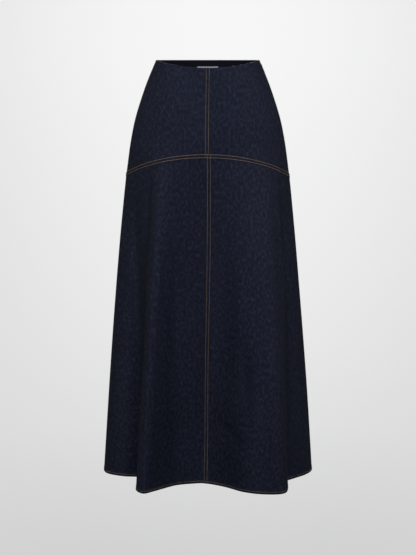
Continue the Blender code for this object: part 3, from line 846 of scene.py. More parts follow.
def twill_group():
    """Three-and-one twill: indigo warp yarns that float over three picks, and the weft between."""
    if "Twill" in bpy.data.node_groups:
        return bpy.data.node_groups["Twill"]
    nodes, given, out = new_group(
        "ShaderNodeTree",
        "Twill",
        (
            ("Place", "NodeSocketVector", (0, 0, 0)),
            ("Yarns per Metre", "NodeSocketFloat", 2600.0),
            ("Yarn Colour", "NodeSocketColor", (0.01, 0.01, 0.02, 1)),
            ("Fleck Colour", "NodeSocketColor", (0.06, 0.06, 0.08, 1)),
            ("Slub", "NodeSocketFloat", 0.3),
            ("Heather", "NodeSocketFloat", 0.2),
            ("Cloudiness", "NodeSocketFloat", 0.1),
        ),
        CLOTH_OUTPUTS,
    )
    place = nodes.axes(given["Place"])
    across = nodes.times(place["X"], given["Yarns per Metre"])
    picks = nodes.times(place["Y"], nodes.times(given["Yarns per Metre"], PICKS_PER_YARN))
    yarn = nodes.maths("FLOOR", across)

    # A yarn's round back, and how far along its float each place is.
    aside = nodes.minus(nodes.maths("FRACT", across), 0.5)
    yarn_back = nodes.minus(1.0, nodes.times(nodes.times(aside, aside), 4.0))
    float_share = nodes.maths("FRACT", nodes.times(nodes.plus(picks, yarn), FLECK_SHARE))
    is_fleck = nodes.maths("LESS_THAN", float_share, FLECK_SHARE)
    fleck_back = nodes.sine(nodes.times(float_share, math.pi / FLECK_SHARE))
    past_fleck = nodes.minus(float_share, FLECK_SHARE)
    float_back = nodes.sine(nodes.times(past_fleck, math.pi / (1 - FLECK_SHARE)))
    fleck = nodes.times(nodes.times(is_fleck, fleck_back), yarn_back)
    yarn_height = nodes.times(yarn_back, nodes.times_plus(float_back, 0.6, 0.4))
    over = nodes.times(yarn_height, nodes.minus(1.0, is_fleck))
    nodes.feed(out["Height"], nodes.times_plus(fleck, 0.6, over))

    # Uneven yarns, a grain a few yarns wide with pale tufts, and slow clouds of shade.
    slub = nodes.noise(nodes.vector(nodes.times(yarn, 0.73), nodes.times(place["Y"], SLUBS_ALONG)))
    grain = nodes.patches(place, GRAIN, seed=3.0, roughness=0.6)
    grain = nodes.times_plus(grain, nodes.times_plus(grain, 1.0, 1.0), -0.03)
    cloud = nodes.patches(place, CLOUDS, seed=7.0)
    shade = nodes.times_plus(slub, given["Slub"], 1.0)
    shade = nodes.times_plus(grain, given["Heather"], shade)
    shade = nodes.times_plus(cloud, given["Cloudiness"], shade)
    colour = nodes.mix(fleck, given["Yarn Colour"], given["Fleck Colour"])
    nodes.feed(out["Color"], nodes.scaled(colour, nodes.maths("MAXIMUM", shade, 0.1)))
    roughness = nodes.times_plus(slub, 0.06, 0.60)
    nodes.feed(out["Roughness"], nodes.times_plus(grain, -0.12, roughness))
    return nodes.tree


def plain_weave_group():
    """Plain weave: every yarn goes over one and under one, with painted shade in the dips between yarns."""
    if "Plain Weave" in bpy.data.node_groups:
        return bpy.data.node_groups["Plain Weave"]
    nodes, given, out = new_group(
        "ShaderNodeTree",
        "Plain Weave",
        (
            ("Place", "NodeSocketVector", (0, 0, 0)),
            ("Yarns per Metre", "NodeSocketFloat", 2400.0),
            ("Yarn Colour", "NodeSocketColor", (0.01, 0.01, 0.02, 1)),
            ("Uneven", "NodeSocketFloat", 0.15),
        ),
        CLOTH_OUTPUTS,
    )
    place = nodes.axes(given["Place"])
    turns = nodes.times(given["Yarns per Metre"], math.pi)
    over_x = nodes.sine(nodes.times(place["X"], turns))
    over_y = nodes.sine(nodes.times(place["Y"], turns))
    height = nodes.times_plus(nodes.times(over_x, over_y), 0.5, 0.5)
    nodes.feed(out["Height"], height)
    uneven = nodes.patches(place, PLAIN_UNEVENNESS, detail=3.0)
    # Random uneven tone, and painted shade: the colour is darker where the yarns dip under.
    shade = nodes.times_plus(uneven, given["Uneven"], nodes.times_plus(height, 0.3, 0.8))
    nodes.feed(out["Color"], nodes.scaled(given["Yarn Colour"], shade))
    nodes.feed(out["Roughness"], nodes.times_plus(uneven, 0.08, 0.8))
    return nodes.tree


def edge_wear_group():
    """Patchy wear where the mask is high, as on seam edges and in small spots on lacquered metal."""
    if "Edge Wear" in bpy.data.node_groups:
        return bpy.data.node_groups["Edge Wear"]
    nodes, given, out = new_group(
        "ShaderNodeTree",
        "Edge Wear",
        (
            ("Place", "NodeSocketVector", (0, 0, 0)),
            ("Patches per Metre", "NodeSocketFloat", 400.0),
            ("Mask", "NodeSocketFloat", 0.0),
            ("Amount", "NodeSocketFloat", 0.5),
            ("Color", "NodeSocketColor", (0, 0, 0, 1)),
            ("Worn Color", "NodeSocketColor", (0.1, 0.1, 0.1, 1)),
        ),
        (("Color", "NodeSocketColor"), ("Worn", "NodeSocketFloat")),
    )
    patches = nodes.noise(nodes.scaled(given["Place"], given["Patches per Metre"]), detail=3.0)
    patchy = nodes.times_plus(patches, 0.9, given["Mask"])
    worn = nodes.add("ShaderNodeMapRange", {"Value": patchy, "From Min": 0.45, "From Max": 1.1}).outputs[0]
    share = nodes.times(nodes.times(worn, given["Mask"]), given["Amount"])
    nodes.feed(out["Color"], nodes.mix(share, given["Color"], given["Worn Color"]))
    nodes.feed(out["Worn"], share)
    return nodes.tree


def new_material(name):
    """An empty material with its nodes, its shader and where the shader's bump goes."""
    material = bpy.data.materials.new(name)
    material.use_nodes = True
    nodes = Nodes(material.node_tree)
    return material, nodes, material.node_tree.nodes["Principled BSDF"].inputs


def bump(nodes, shader, height, distance, strength=1.0):
    inputs = {"Height": height, "Distance": distance, "Strength": strength}
    nodes.feed(shader["Normal"], nodes.add("ShaderNodeBump", inputs).outputs[0])


def opaque(colour):
    return (*colour, 1.0)


def denim_material(name, yarn, fleck, worn, slub, heather, cloudiness):
    """Twill on the flat cut, a little rubbed at its edges."""
    found = bpy.data.materials.get(name)
    if found:
        return found
    material, nodes, shader = new_material(name)
    place = nodes.uv("flat_cut")
    inputs = {
        "Place": place,
        "Yarn Colour": opaque(yarn),
        "Fleck Colour": opaque(fleck),
        "Slub": slub,
        "Heather": heather,
        "Cloudiness": cloudiness,
    }
    twill = nodes.add("ShaderNodeGroup", inputs, node_tree=twill_group())
    inputs = {
        "Place": place,
        "Mask": nodes.add("ShaderNodeAttribute", attribute_name="wear").outputs["Fac"],
        "Amount": 0.35,
        "Color": twill.outputs["Color"],
        "Worn Color": opaque(worn),
    }
    rubbed = nodes.add("ShaderNodeGroup", inputs, node_tree=edge_wear_group())
    nodes.feed(shader["Base Color"], rubbed.outputs["Color"])
    nodes.feed(shader["Roughness"], twill.outputs["Roughness"])
    bump(nodes, shader, twill.outputs["Height"], 0.00022)
    shader["Specular IOR Level"].default_value = 0.40
    shader["Specular Tint"].default_value = (0.50, 0.58, 1.0, 1.0)
    return material


def raw_denim():
    """The warp face of the denim: dark indigo, unwashed."""
    colours = bpy.context.scene.skirt_colours
    unevenness = {"slub": 0.30, "heather": 2.0, "cloudiness": 0.25}
    return denim_material("raw_denim", colours.warp, colours.weft, RUBBED_INDIGO, **unevenness)


def denim_reverse():
    """The weft face of the denim: grey with indigo flecks."""
    colours = bpy.context.scene.skirt_colours
    yarn = [1.4 * weft for weft in colours.weft]
    unevenness = {"slub": 0.20, "heather": 0.15, "cloudiness": 0.08}
    return denim_material("denim_reverse", yarn, colours.warp, yarn, **unevenness)


def woven_material(name, colour, yarns, uneven, specular, roughness_gain=1.1, sheen=0.0):
    """A plain weave on the flat cut."""
    material, nodes, shader = new_material(name)
    inputs = {
        "Place": nodes.uv("flat_cut"),
        "Yarns per Metre": yarns,
        "Yarn Colour": opaque(colour),
        "Uneven": uneven,
    }
    weave = nodes.add("ShaderNodeGroup", inputs, node_tree=plain_weave_group())
    nodes.feed(shader["Base Color"], weave.outputs["Color"])
    nodes.feed(shader["Roughness"], nodes.times(weave.outputs["Roughness"], roughness_gain))
    bump(nodes, shader, weave.outputs["Height"], 0.2 / yarns)
    shader["Specular IOR Level"].default_value = specular
    shader["Sheen Weight"].default_value = sheen
    return material


def thread_material(name, colour, turns_per_metre=900.0):
    """Thread of three plies, which are wound round it, with painted shade in the grooves between them and
    painted light on their crests.
    """
    material, nodes, shader = new_material(name)
    place = nodes.axes(nodes.uv("thread"))
    wound = nodes.times_plus(place["X"], turns_per_metre * 3, nodes.times(place["Y"], 3.0))
    ply = nodes.maths("ABSOLUTE", nodes.sine(nodes.times(wound, math.pi)))
    # Painted light and shade: the colour is lighter on each ply's crest and darker in the grooves.
    nodes.feed(shader["Base Color"], nodes.scaled(tuple(colour), nodes.times_plus(ply, 0.45, 0.65)))
    nodes.feed(shader["Roughness"], nodes.times_plus(ply, -0.12, 0.62))
    bump(nodes, shader, ply, 0.00008)
    shader["Specular IOR Level"].default_value = 0.35
    shader["Sheen Weight"].default_value = 0.1
    return material


def enamel_material():
    """Dark lacquer on the slider, tab and stop, chipped down to metal in small spots."""
    found = bpy.data.materials.get("zip_enamel")
    if found:
        return found
    material, nodes, shader = new_material("zip_enamel")
    place = nodes.add("ShaderNodeTexCoord").outputs["Object"]
    fine = nodes.noise(nodes.scaled(place, 2500.0), detail=3.0)
    coarse = nodes.noise(nodes.scaled(place, 420.0))
    spots = nodes.add("ShaderNodeMapRange", {"Value": coarse, "From Min": 0.1, "From Max": 0.6})
    inputs = {
        "Place": place,
        "Patches per Metre": 1600.0,
        "Mask": spots.outputs[0],
        "Amount": 0.5,
        "Color": opaque(bpy.context.scene.skirt_colours.enamel),
        "Worn Color": (0.12, 0.12, 0.13, 1.0),
    }
    chips = nodes.add("ShaderNodeGroup", inputs, node_tree=edge_wear_group())
    nodes.feed(shader["Base Color"], chips.outputs["Color"])
    nodes.feed(shader["Metallic"], chips.outputs["Worn"])
    nodes.feed(shader["Roughness"], nodes.times_plus(fine, 0.06, 0.34))
    bump(nodes, shader, fine, 0.00001)
    shader["Coat Weight"].default_value = 0.4
    shader["Coat Roughness"].default_value = 0.2
    return material


# Stitches and coil


def sewing_tree():
    """Lays short arched lengths of thread along every line of a mesh."""
    if "Sewn Row" in bpy.data.node_groups:
        return bpy.data.node_groups["Sewn Row"]
    nodes, given, out = new_group(
        "GeometryNodeTree",
        "Sewn Row",
        (
            ("Geometry", "NodeSocketGeometry", None),
            ("Pitch", "NodeSocketFloat", 0.0032),
            ("Stitch Length", "NodeSocketFloat", 0.0028),
            ("Thread Width", "NodeSocketFloat", 0.0006),
            ("Rise", "NodeSocketFloat", 0.0002),
            ("Turn", "NodeSocketFloat", 0.0),
            ("Unevenness", "NodeSocketFloat", 0.06),
            ("Seed", "NodeSocketInt", 0),
            ("Material", "NodeSocketMaterial", None),
        ),
        (("Geometry", "NodeSocketGeometry"),),
    )
    line = nodes.add("GeometryNodeMeshToCurve", {"Mesh": given["Geometry"]}).outputs[0]
    inputs = {"Curve": line, "Length": given["Pitch"]}
    points = nodes.add("GeometryNodeResampleCurve", inputs, mode="LENGTH").outputs[0]

    # One stitch: a thread that rises from the cloth and goes back into it.
    half = nodes.times(given["Stitch Length"], 0.5)
    sunk = nodes.times(given["Thread Width"], -0.6)
    inputs = {
        "Resolution": 5,
        "Start": nodes.vector(nodes.times(half, -1.0), 0.0, sunk),
        "Middle": nodes.vector(0.0, 0.0, nodes.minus(nodes.times(given["Rise"], 2.0), sunk)),
        "End": nodes.vector(half, 0.0, sunk),
    }
    arch = nodes.add("GeometryNodeCurveQuadraticBezier", inputs).outputs[0]
    inputs = {"Resolution": 6, "Radius": nodes.times(given["Thread Width"], 0.5)}
    ring = nodes.add("GeometryNodeCurvePrimitiveCircle", inputs).outputs[0]
    arch, along = captured(nodes, arch, "Length")
    ring, around = captured(nodes, ring, "Factor")
    inputs = {"Curve": arch, "Profile Curve": ring, "Fill Caps": True}
    tube = nodes.add("GeometryNodeCurveToMesh", inputs).outputs[0]
    inputs = {"Geometry": tube, "Name": "thread", "Value": nodes.vector(along, around)}
    stored = {"data_type": "FLOAT2", "domain": "CORNER"}
    wound = nodes.add("GeometryNodeStoreNamedAttribute", inputs, **stored).outputs[0]

    # It lies along the line, square to the cloth, and no two are quite alike.
    outward = nodes.add("GeometryNodeInputNamedAttribute", {"Name": "outward"}, data_type="FLOAT_VECTOR")
    inputs = {"Vector": outward.outputs[0]}
    stood = nodes.add("FunctionNodeAlignRotationToVector", inputs, axis="Z").outputs[0]
    inputs = {"Rotation": stood, "Vector": nodes.add("GeometryNodeInputTangent").outputs[0]}
    lying = nodes.add("FunctionNodeAlignRotationToVector", inputs, axis="X", pivot_axis="Z").outputs[0]
    unlike = uneven_vector(nodes, given["Unevenness"], given["Seed"])
    askew = nodes.plus(nodes.axes(unlike)["X"], given["Turn"])
    turn = nodes.add("FunctionNodeEulerToRotation", {0: nodes.vector(0.0, 0.0, askew)}).outputs[0]
    inputs = {"Rotation": lying, "Rotate By": turn}
    turned = nodes.add("FunctionNodeRotateRotation", inputs, rotation_space="LOCAL").outputs[0]
    size = nodes.add("ShaderNodeVectorMath", {0: (1, 1, 1), 1: unlike}, operation="ADD").outputs[0]
    inputs = {"Points": points, "Instance": wound, "Rotation": turned, "Scale": size}
    sewn = nodes.add("GeometryNodeInstanceOnPoints", inputs).outputs[0]
    real = nodes.add("GeometryNodeRealizeInstances", {"Geometry": sewn}).outputs[0]
    smooth = nodes.add("GeometryNodeSetShadeSmooth", {"Geometry": real}).outputs[0]
    finished = nodes.add("GeometryNodeSetMaterial", {"Geometry": smooth, "Material": given["Material"]})
    nodes.feed(out["Geometry"], finished.outputs[0])
    return nodes.tree


def captured(nodes, curve, part):
    """A curve that remembers its spline's factor or length at each point, and that value."""
    capture = nodes.add("GeometryNodeCaptureAttribute")
    capture.capture_items.new("FLOAT", part)
    nodes.feed(capture.inputs["Geometry"], curve)
    nodes.feed(capture.inputs[part], nodes.add("GeometryNodeSplineParameter").outputs[part])
    return capture.outputs["Geometry"], capture.outputs[part]


def uneven_vector(nodes, amount, seed):
    """A random vector within an amount of 0."""
    low = nodes.times(amount, -1.0)
    inputs = {"Min": nodes.vector(low, low, low), "Max": nodes.vector(amount, amount, amount), "Seed": seed}
    return nodes.add("FunctionNodeRandomValue", inputs, data_type="FLOAT_VECTOR").outputs[0]


def sew(name, lines, settings, body="skirt"):
    """Runs the sewing tree along lines, each a pair of points and outward directions."""
    mesh = bpy.data.meshes.new(name)
    points = np.concatenate([line for line, _ in lines])
    outward = np.concatenate([directions for _, directions in lines])
    starts = np.cumsum([0] + [len(line) for line, _ in lines])
    edges = [(i, i + 1) for a, b in zip(starts, starts[1:]) for i in range(a, b - 1)]
    mesh.from_pydata(points.tolist(), edges, [])
    attribute = mesh.attributes.new("outward", "FLOAT_VECTOR", "POINT")
    attribute.data.foreach_set("vector", outward.ravel())
    piece = bpy.data.objects.new(name, mesh)
    bpy.context.scene.collection.objects.link(piece)
    modifier = piece.modifiers.new("Sewn Row", "NODES")
    modifier.node_group = sewing_tree()
    for item in modifier.node_group.interface.items_tree:
        if item.in_out == "INPUT" and item.name in settings:
            modifier[item.identifier] = settings[item.name]
    graph = bpy.context.evaluated_depsgraph_get()
    sewn = bpy.data.meshes.new_from_object(piece.evaluated_get(graph))
    piece.modifiers.remove(modifier)
    if not sewn.polygons:
        raise RuntimeError(name + " has no stitches")
    piece.data = sewn
    sewn.name = name
    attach(piece, body)
    return piece


def row_beside(outer, normals, distances, wanted, from_ends=None, short=0.0):
    """A line of points and outward directions at a wanted distance from an edge of a panel.

    The grids' first axis runs along the edge. from_ends is how far each point is from the nearer end
    of the line, which stops short of both.
    """
    line, directions = [], []
    for k, away in enumerate(distances):
        place = np.interp(wanted, *in_order(away))
        if from_ends is None or between(from_ends[k], place) > short:
            line.append(between(outer[k], place))
            directions.append(between(normals[k], place))
    return np.array(line), np.array(directions)


def row_down(panel, outer, wanted, short):
    """A line down a panel beside its starting edge, short of its top and bottom."""
    from_ends = np.minimum(panel.from_top, panel.from_bottom).T
    return row_beside(
        outer.swapaxes(0, 1), panel.normals.swapaxes(0, 1), panel.from_start.T, wanted, from_ends, short
    )


def row_across(panels, edge, wanted):
    """A line across panels that follow each other, at a distance from their from_top or from_bottom."""
    lines = [row_beside(faces[0], panel.normals, getattr(panel, edge), wanted) for panel, faces in panels]
    return np.concatenate([line for line, _ in lines]), np.concatenate([ways for _, ways in lines])


def panel_and_faces(name):
    scene = bpy.context.scene
    panel = hang_named_panel(name)
    return panel, panel_faces(name, panel, scene.skirt_cloth, scene.skirt_stitching)


def hang_denim(name):
    """One of the denim panels, which hangs from others or from the waist."""
    panel, (outer, inner, wear) = panel_and_faces(name)
    materials = (raw_denim(), denim_reverse())
    hang_cloth(name, (outer, inner), panel.flat, materials, wear)


# Operators


class SkirtOperator:
    """What the skirt's operators share."""

    bl_options = {"REGISTER", "UNDO"}

    def execute(self, context):
        self.build(context.scene)
        return {"FINISHED"}


class SKIRT_OT_yokes(SkirtOperator, bpy.types.Operator):
    """Hangs the three fitted pieces of the hip yoke"""

    bl_idname = "skirt.yokes"
    bl_label = "Hip yoke"

    def build(self, scene):
        for name in YOKES:
            hang_denim(name)


class SKIRT_OT_skirts(SkirtOperator, bpy.types.Operator):
    """Hangs the three flared panels below the yoke"""

    bl_idname = "skirt.skirts"
    bl_label = "Flared panels"

    def build(self, scene):
        for name in SKIRTS:
            hang_denim(name)


class SKIRT_OT_facings(SkirtOperator, bpy.types.Operator):
    """Lays the cotton facings inside the waist"""

    bl_idname = "skirt.facings"
    bl_label = "Facings"

    def build(self, scene):
        cloth = scene.skirt_cloth
        colour = scene.skirt_colours.facing
        cotton = woven_material("facing_cotton", colour, yarns=2400.0, uneven=0.2, specular=0.1)
        facings = (
            ("front_facing", "front_yoke_right_cloth", -SIDE_SEAM, FRONT_FACING_END),
            ("back_facing", "back_yoke_cloth", BACK_FACING_START, FULL_TURN - SIDE_SEAM),
        )
        for name, yoke, start, end in facings:
            cut = Cut(start, end, grain=0.5)
            panel = hang_panel(cut, below_waist(FACING_START), below_waist(FACING_DEPTH))
            binding = FACING_BINDING * (1 - ease(*FACING_BINDING_END, panel.from_bottom))
            edge = rolled(cloth.facing, np.minimum(panel.from_top, panel.from_bottom))
            under = cloth.waves * wave_heights(panel.angles, panel.depths) - cloth.denim - LAYER_GAP
            faces = (
                lifted(panel.points, panel.normals, under - edge),
                lifted(panel.points, panel.normals, under - cloth.facing - binding + edge),
            )
            hang_cloth(name, faces, panel.flat, (cotton, cotton))


class SKIRT_OT_label(SkirtOperator, bpy.types.Operator):
    """Sews the blank satin label inside the back waist"""

    bl_idname = "skirt.label"
    bl_label = "Label"

    def build(self, scene):
        cloth = scene.skirt_cloth
        colour = scene.skirt_colours.label
        satin = woven_material(
            "label_satin", colour, yarns=3600.0, uneven=0.05, specular=0.4, roughness_gain=0.55, sheen=0.2
        )
        ends = (CENTRE_BACK - LABEL_HALF_ANGLE, CENTRE_BACK + LABEL_HALF_ANGLE)
        panel = hang_panel(Cut(*ends), level(LABEL_TOP), level(LABEL_BOTTOM), LABEL_SPACING)
        across = panel.from_start
        from_side = np.minimum(across, panel.from_end)
        from_edge = np.minimum.reduce((from_side, panel.from_top, panel.from_bottom))
        folded = LABEL_FOLD * (1 - ease(*LABEL_FOLD_END, from_side))
        bowed = LABEL_BOW * np.sin(np.pi * np.clip(across / across[-1], 0, 1)) ** 2
        under = -(cloth.denim + cloth.facing + LABEL_GAP) - bowed
        edge = rolled(LABEL_THICKNESS, from_edge)
        inner = lifted(panel.points, panel.normals, under - LABEL_THICKNESS + edge)
        faces = (lifted(panel.points, panel.normals, under + folded - edge), inner)
        label = hang_cloth(
            "back_label", faces, panel.flat, (satin, satin)
        )
        column = int(np.argmin(np.abs(across[:, 0] - LABEL_STITCHES_IN)))
        rows = slice(2, -2)
        lines = [(inner[c, rows], -panel.normals[c, rows]) for c in (column, len(across) - 1 - column)]
        settings = {
            "Pitch": 0.0021,
            "Stitch Length": 0.0018,
            "Thread Width": 0.00028,
            "Rise": 0.0001,
            "Seed": 3,
            "Material": thread_material("label_thread", colour, 1600.0),
        }
        stitches = sew("label_stitches", lines, settings)
        stitches.parent = label
        stitches.matrix_parent_inverse.identity()


class SKIRT_OT_zip(SkirtOperator, bpy.types.Operator):
    """Sets the concealed zip into the left side seam"""

    bl_idname = "skirt.zip"
    bl_label = "Zip"

    def build(self, scene):
        cloth = scene.skirt_cloth
        colour = scene.skirt_colours.zip_tape
        tape = woven_material(
            "zip_tape", colour, yarns=2000.0, uneven=0.15, specular=0.2, roughness_gain=0.95
        )
        depths = np.linspace(ZIP_TOP, ZIP_END, 90)
        front = hang_named_panel("front_yoke_left")
        back = hang_named_panel("back_yoke")
        sides = (
            ("zip_tape_front", "front_yoke_left_cloth", front, front.from_end),
            ("zip_tape_back", "back_yoke_cloth", back, back.from_start),
        )
        middle, outward = 0, 0
        for name, yoke, panel, distances in sides:
            points, normals = strip_between(panel, LAYER_GAP, ZIP_TAPE_WIDTH, distances, depths, 9)
            middle = middle + points[0] / 2
            if distances is front.from_end:
                points, normals = points[::-1], normals[::-1]
            outward = outward + normals[0] / 2
            across, down = walked(points, 0), walked(points, 1)
            edge = rolled(ZIP_TAPE_THICKNESS, np.minimum(across, across[-1] - across))
            under = -(cloth.denim + LAYER_GAP)
            faces = (
                lifted(points, normals, under - edge),
                lifted(points, normals, under - ZIP_TAPE_THICKNESS + edge),
            )
            hang_cloth(name, faces, straight_flat(across, down), (tape, tape))
        keep = (depths > COIL_FROM) & (depths < COIL_TO)
        line = (middle[keep] - outward[keep] * (cloth.denim + COIL_INSIDE), -outward[keep])
        settings = {
            "Pitch": 0.0011,
            "Stitch Length": 0.0046,
            "Thread Width": 0.00062,
            "Rise": 0.0005,
            "Turn": math.radians(COIL_SLANT),
            "Unevenness": 0.01,
            "Seed": 5,
            "Material": thread_material("zip_coil_nylon", [1.6 * c for c in colour], 0.0),
        }
        sew("zip_coil", [line], settings)
        lacquer("zip_slider", "skirt")
        lacquer("zip_bottom_stop", "skirt")
        lacquer("zip_pull_tab", "pull_tab")


def lacquer(node, body):
    """A hard piece with its CAD node's shape, softened edges and a lacquered finish."""
    shape = bmesh.new()
    shape.from_mesh(frame["nodes"][node].data)
    bmesh.ops.remove_doubles(shape, verts=shape.verts, dist=0.000002)
    bmesh.ops.dissolve_limit(shape, angle_limit=math.radians(2), verts=shape.verts, edges=shape.edges)
    sharp = [edge for edge in shape.edges if edge.is_manifold and edge.calc_face_angle() > math.radians(40)]
    bmesh.ops.bevel(shape, geom=sharp, offset=0.00015, segments=2, affect="EDGES", clamp_overlap=True)
    bmesh.ops.triangulate(shape, faces=[face for face in shape.faces if len(face.verts) > 4])
    mesh = bpy.data.meshes.new(node + "_lacquered")
    shape.to_mesh(mesh)
    shape.free()
    mesh.shade_smooth()
    mesh.set_sharp_from_angle(angle=math.radians(35))
    piece = new_piece(node + "_lacquered", mesh, (enamel_material(),), body)
    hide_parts(node)


class SKIRT_OT_stitches(SkirtOperator, bpy.types.Operator):
    """Sews the gold topstitching"""

    bl_idname = "skirt.stitches"
    bl_label = "Topstitching"

    def build(self, scene):
        sewn = scene.skirt_stitching
        gold = thread_material("gold_thread", scene.skirt_colours.thread)
        rows = (sewn.first_row, sewn.first_row + sewn.row_gap)
        yoke, (yoke_outer, _, _) = panel_and_faces("front_yoke_left")
        centre = [row_down(yoke, yoke_outer, row, YOKE_ROWS_SHORT) for row in rows]
        skirts = {name: panel_and_faces(name) for name in SKIRTS}
        left, (left_outer, _, _) = skirts["front_skirt_left"]
        centre += [row_down(left, left_outer, row, SKIRT_ROWS_SHORT) for row in rows]
        yoke_rows = [row_across(skirts.values(), "from_top", row) for row in rows]
        hem_row = row_across(skirts.values(), "from_bottom", sewn.hem_row)
        # How thick each run's thread is and how far its stitches rise, as shares of the set thickness.
        runs = (
            ("centre_front", centre, 0.64, 0.12),
            ("yoke", yoke_rows, 1.05, 0.28),
            ("hem", [hem_row], 0.68, 0.15),
        )
        for name, lines, width, rise in runs:
            settings = {
                "Pitch": sewn.pitch,
                "Stitch Length": sewn.length,
                "Thread Width": width * sewn.thread,
                "Rise": rise * sewn.thread,
                "Seed": sewn.seed + len(lines),
                "Material": gold,
            }
            sew(name + "_topstitching", lines, settings)


# The camera stands level with the waist and looks a little down.
CAMERA_PLACE = Vector((0.0, -3.8, 0.0))
CAMERA_TILT = 7.529
CAMERA_LENS = 106.25
CAMERA_SHIFT = 0.0005

# The studio: a round sheet of pale paper that turns up into a wall and glows with painted light. Its near
# part, where the painted shade deepens, ends where the way out from the middle and the way up from the floor
# make NEAR_PAPER together.
FLOOR_DEPTH = 1.60
FLOOR_RADIUS = 4.6
WALL_RADIUS = 6.6
WALL_HEIGHT = 4.5
NEAR_PAPER = 3.3
# How the painted pools of light repeat round the paper, and how far round they are turned.
POOLS_ROUND = 4.0
POOLS_TURN = -0.05

# The lights: how far round from the front, how high and how far away they stand, their width and
# height, and the setting that gives their power.
AIM = Vector((0, 0, -0.35))
Light = namedtuple("Light", "name turn rise distance size power")
LIGHTS = (
    Light("key_light", 2, 36, 4.5, (2.4, 1.4), "key"),
    Light("left_light", 100, 15, 2.6, (0.8, 1.8), "sides"),
    Light("right_light", -100, 15, 2.6, (0.8, 1.8), "sides"),
    Light("back_light", 180, 35, 3.5, (1.6, 1.2), "back"),
)


def painted_light_paper_material(studio):
    """Pale paper that glows with painted light: soft painted pools of light high up, and painted shade,
    darker towards the floor's middle.
    """
    material, nodes, shader = new_material("studio_paper")
    axes = nodes.axes(nodes.add("ShaderNodeTexCoord").outputs["Object"])
    level_place = nodes.vector(axes["X"], axes["Y"])
    radius = nodes.add("ShaderNodeVectorMath", {0: level_place}, operation="LENGTH").outputs["Value"]
    out_and_up = nodes.plus(radius, nodes.plus(axes["Z"], FLOOR_DEPTH))
    forwards = nodes.maths("MAXIMUM", nodes.minus(WALL_RADIUS + FLOOR_DEPTH, out_and_up), 0.0)
    near = nodes.maths("MAXIMUM", nodes.minus(NEAR_PAPER, out_and_up), 0.0)
    round_turn = nodes.maths("ARCTAN2", axes["X"], axes["Y"])
    pools = nodes.sine(nodes.times_plus(round_turn, POOLS_ROUND, POOLS_TURN))
    beside = nodes.maths("POWER", nodes.times(pools, nodes.maths("DIVIDE", radius, WALL_RADIUS)), 2.0)
    # Painted light: the paper shines by emission, with painted shade forwards, beside the painted pools of
    # light and near the skirt.
    painted_glow = nodes.times_plus(forwards, -studio.fade, nodes.times_plus(beside, -studio.pools, 1.0))
    painted_glow = nodes.times_plus(near, -studio.near_painted_fade, painted_glow)
    nodes.feed(shader["Base Color"], (0.02, 0.02, 0.02, 1.0))
    nodes.feed(shader["Emission Color"], nodes.scaled(tuple(studio.paper), painted_glow))
    shader["Emission Strength"].default_value = 1.0
    shader["Roughness"].default_value = 1.0
    shader["Specular IOR Level"].default_value = 0.0
    return material


def paper_cove(studio):
    """A round floor that curves up into a wall, seen from inside."""
    turn_radius = WALL_RADIUS - FLOOR_RADIUS
    profile = [(0.001, -FLOOR_DEPTH)]
    for a in np.linspace(0, np.pi / 2, 17):
        out, up = turn_radius * math.sin(a), turn_radius * (1 - math.cos(a))
        profile.append((FLOOR_RADIUS + out, up - FLOOR_DEPTH))
    profile.append((WALL_RADIUS, WALL_HEIGHT))
    segments = 96
    points, faces = [], []
    for s in range(segments):
        turn = 2 * math.pi * s / segments
        points += [(radius * math.cos(turn), radius * math.sin(turn), z) for radius, z in profile]
    count = len(profile)
    for s in range(segments):
        here, there = s * count, (s + 1) % segments * count
        faces += [(here + i, there + i, there + i + 1, here + i + 1) for i in range(count - 1)]
    mesh = bpy.data.meshes.new("studio_cove")
    mesh.from_pydata(points, [], faces)
    mesh.shade_smooth()
    mesh.materials.append(painted_light_paper_material(studio))
    cove = bpy.data.objects.new("studio_cove", mesh)
    cove.visible_diffuse = False
    cove.visible_glossy = False
    cove.visible_shadow = False
    bpy.context.scene.collection.objects.link(cove)


def soft_light(light, power):
    """A panel of soft white light aimed at the skirt, turned round it from the front and raised."""
    data = bpy.data.lights.new(light.name, "AREA")
    data.shape = "RECTANGLE"
    data.size, data.size_y = light.size
    data.energy = power
    turn, rise = math.radians(light.turn), math.radians(light.rise)
    way = Vector((math.sin(turn) * math.cos(rise), -math.cos(turn) * math.cos(rise), math.sin(rise)))
    lamp = bpy.data.objects.new(light.name, data)
    lamp.location = AIM + light.distance * way
    lamp.rotation_euler = (-way).to_track_quat("-Z", "Y").to_euler()
    lamp.visible_camera = False
    bpy.context.scene.collection.objects.link(lamp)


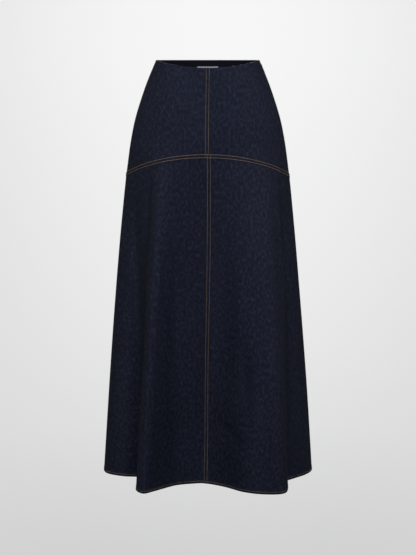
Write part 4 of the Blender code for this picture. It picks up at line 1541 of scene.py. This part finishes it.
class SKIRT_OT_studio(SkirtOperator, bpy.types.Operator):
    """Sets up the pale paper, the soft lights and the camera"""

    bl_idname = "skirt.studio"
    bl_label = "Studio"

    def build(self, scene):
        studio = scene.skirt_studio
        paper_cove(studio)
        for light in LIGHTS:
            soft_light(light, getattr(studio, light.power))
        world = bpy.data.worlds.new("studio_air")
        world.use_nodes = True
        background = world.node_tree.nodes["Background"]
        background.inputs["Color"].default_value = (1.0, 1.0, 1.0, 1.0)
        background.inputs["Strength"].default_value = studio.air
        scene.world = world
        scene.view_settings.view_transform = "Standard"
        data = bpy.data.cameras.new("camera")
        data.lens = CAMERA_LENS
        data.shift_x = CAMERA_SHIFT
        camera = bpy.data.objects.new("camera", data)
        camera.location = CAMERA_PLACE
        camera.rotation_euler = (math.radians(90 - CAMERA_TILT), 0, 0)
        scene.collection.objects.link(camera)
        scene.camera = camera


OPERATORS = (
    SKIRT_OT_yokes,
    SKIRT_OT_skirts,
    SKIRT_OT_facings,
    SKIRT_OT_label,
    SKIRT_OT_zip,
    SKIRT_OT_stitches,
    SKIRT_OT_studio,
)
SETTINGS = {
    "skirt_cloth": SkirtCloth,
    "skirt_stitching": SkirtStitching,
    "skirt_colours": SkirtColours,
    "skirt_studio": SkirtStudio,
}


class SKIRT_PT_build(bpy.types.Panel):
    """Lists the skirt's pieces and their settings"""

    bl_label = "Denim skirt"
    bl_space_type = "VIEW_3D"
    bl_region_type = "UI"
    bl_category = "Skirt"

    def draw(self, context):
        for operator in OPERATORS:
            self.layout.operator(operator.bl_idname)
        for name, group in SETTINGS.items():
            box = self.layout.box()
            for setting in group.__annotations__:
                box.prop(getattr(context.scene, name), setting)


def register():
    for group in SETTINGS.values():
        bpy.utils.register_class(group)
    for name, group in SETTINGS.items():
        setattr(bpy.types.Scene, name, PointerProperty(type=group))
    for operator in OPERATORS:
        bpy.utils.register_class(operator)
    bpy.utils.register_class(SKIRT_PT_build)


def unregister():
    bpy.utils.unregister_class(SKIRT_PT_build)
    for operator in reversed(OPERATORS):
        bpy.utils.unregister_class(operator)
    for name, group in SETTINGS.items():
        delattr(bpy.types.Scene, name)
        bpy.utils.unregister_class(group)


def main():
    register()
    for operator in OPERATORS:
        group, name = operator.bl_idname.split(".")
        getattr(getattr(bpy.ops, group), name)()


if __name__ == "__main__":
    main()
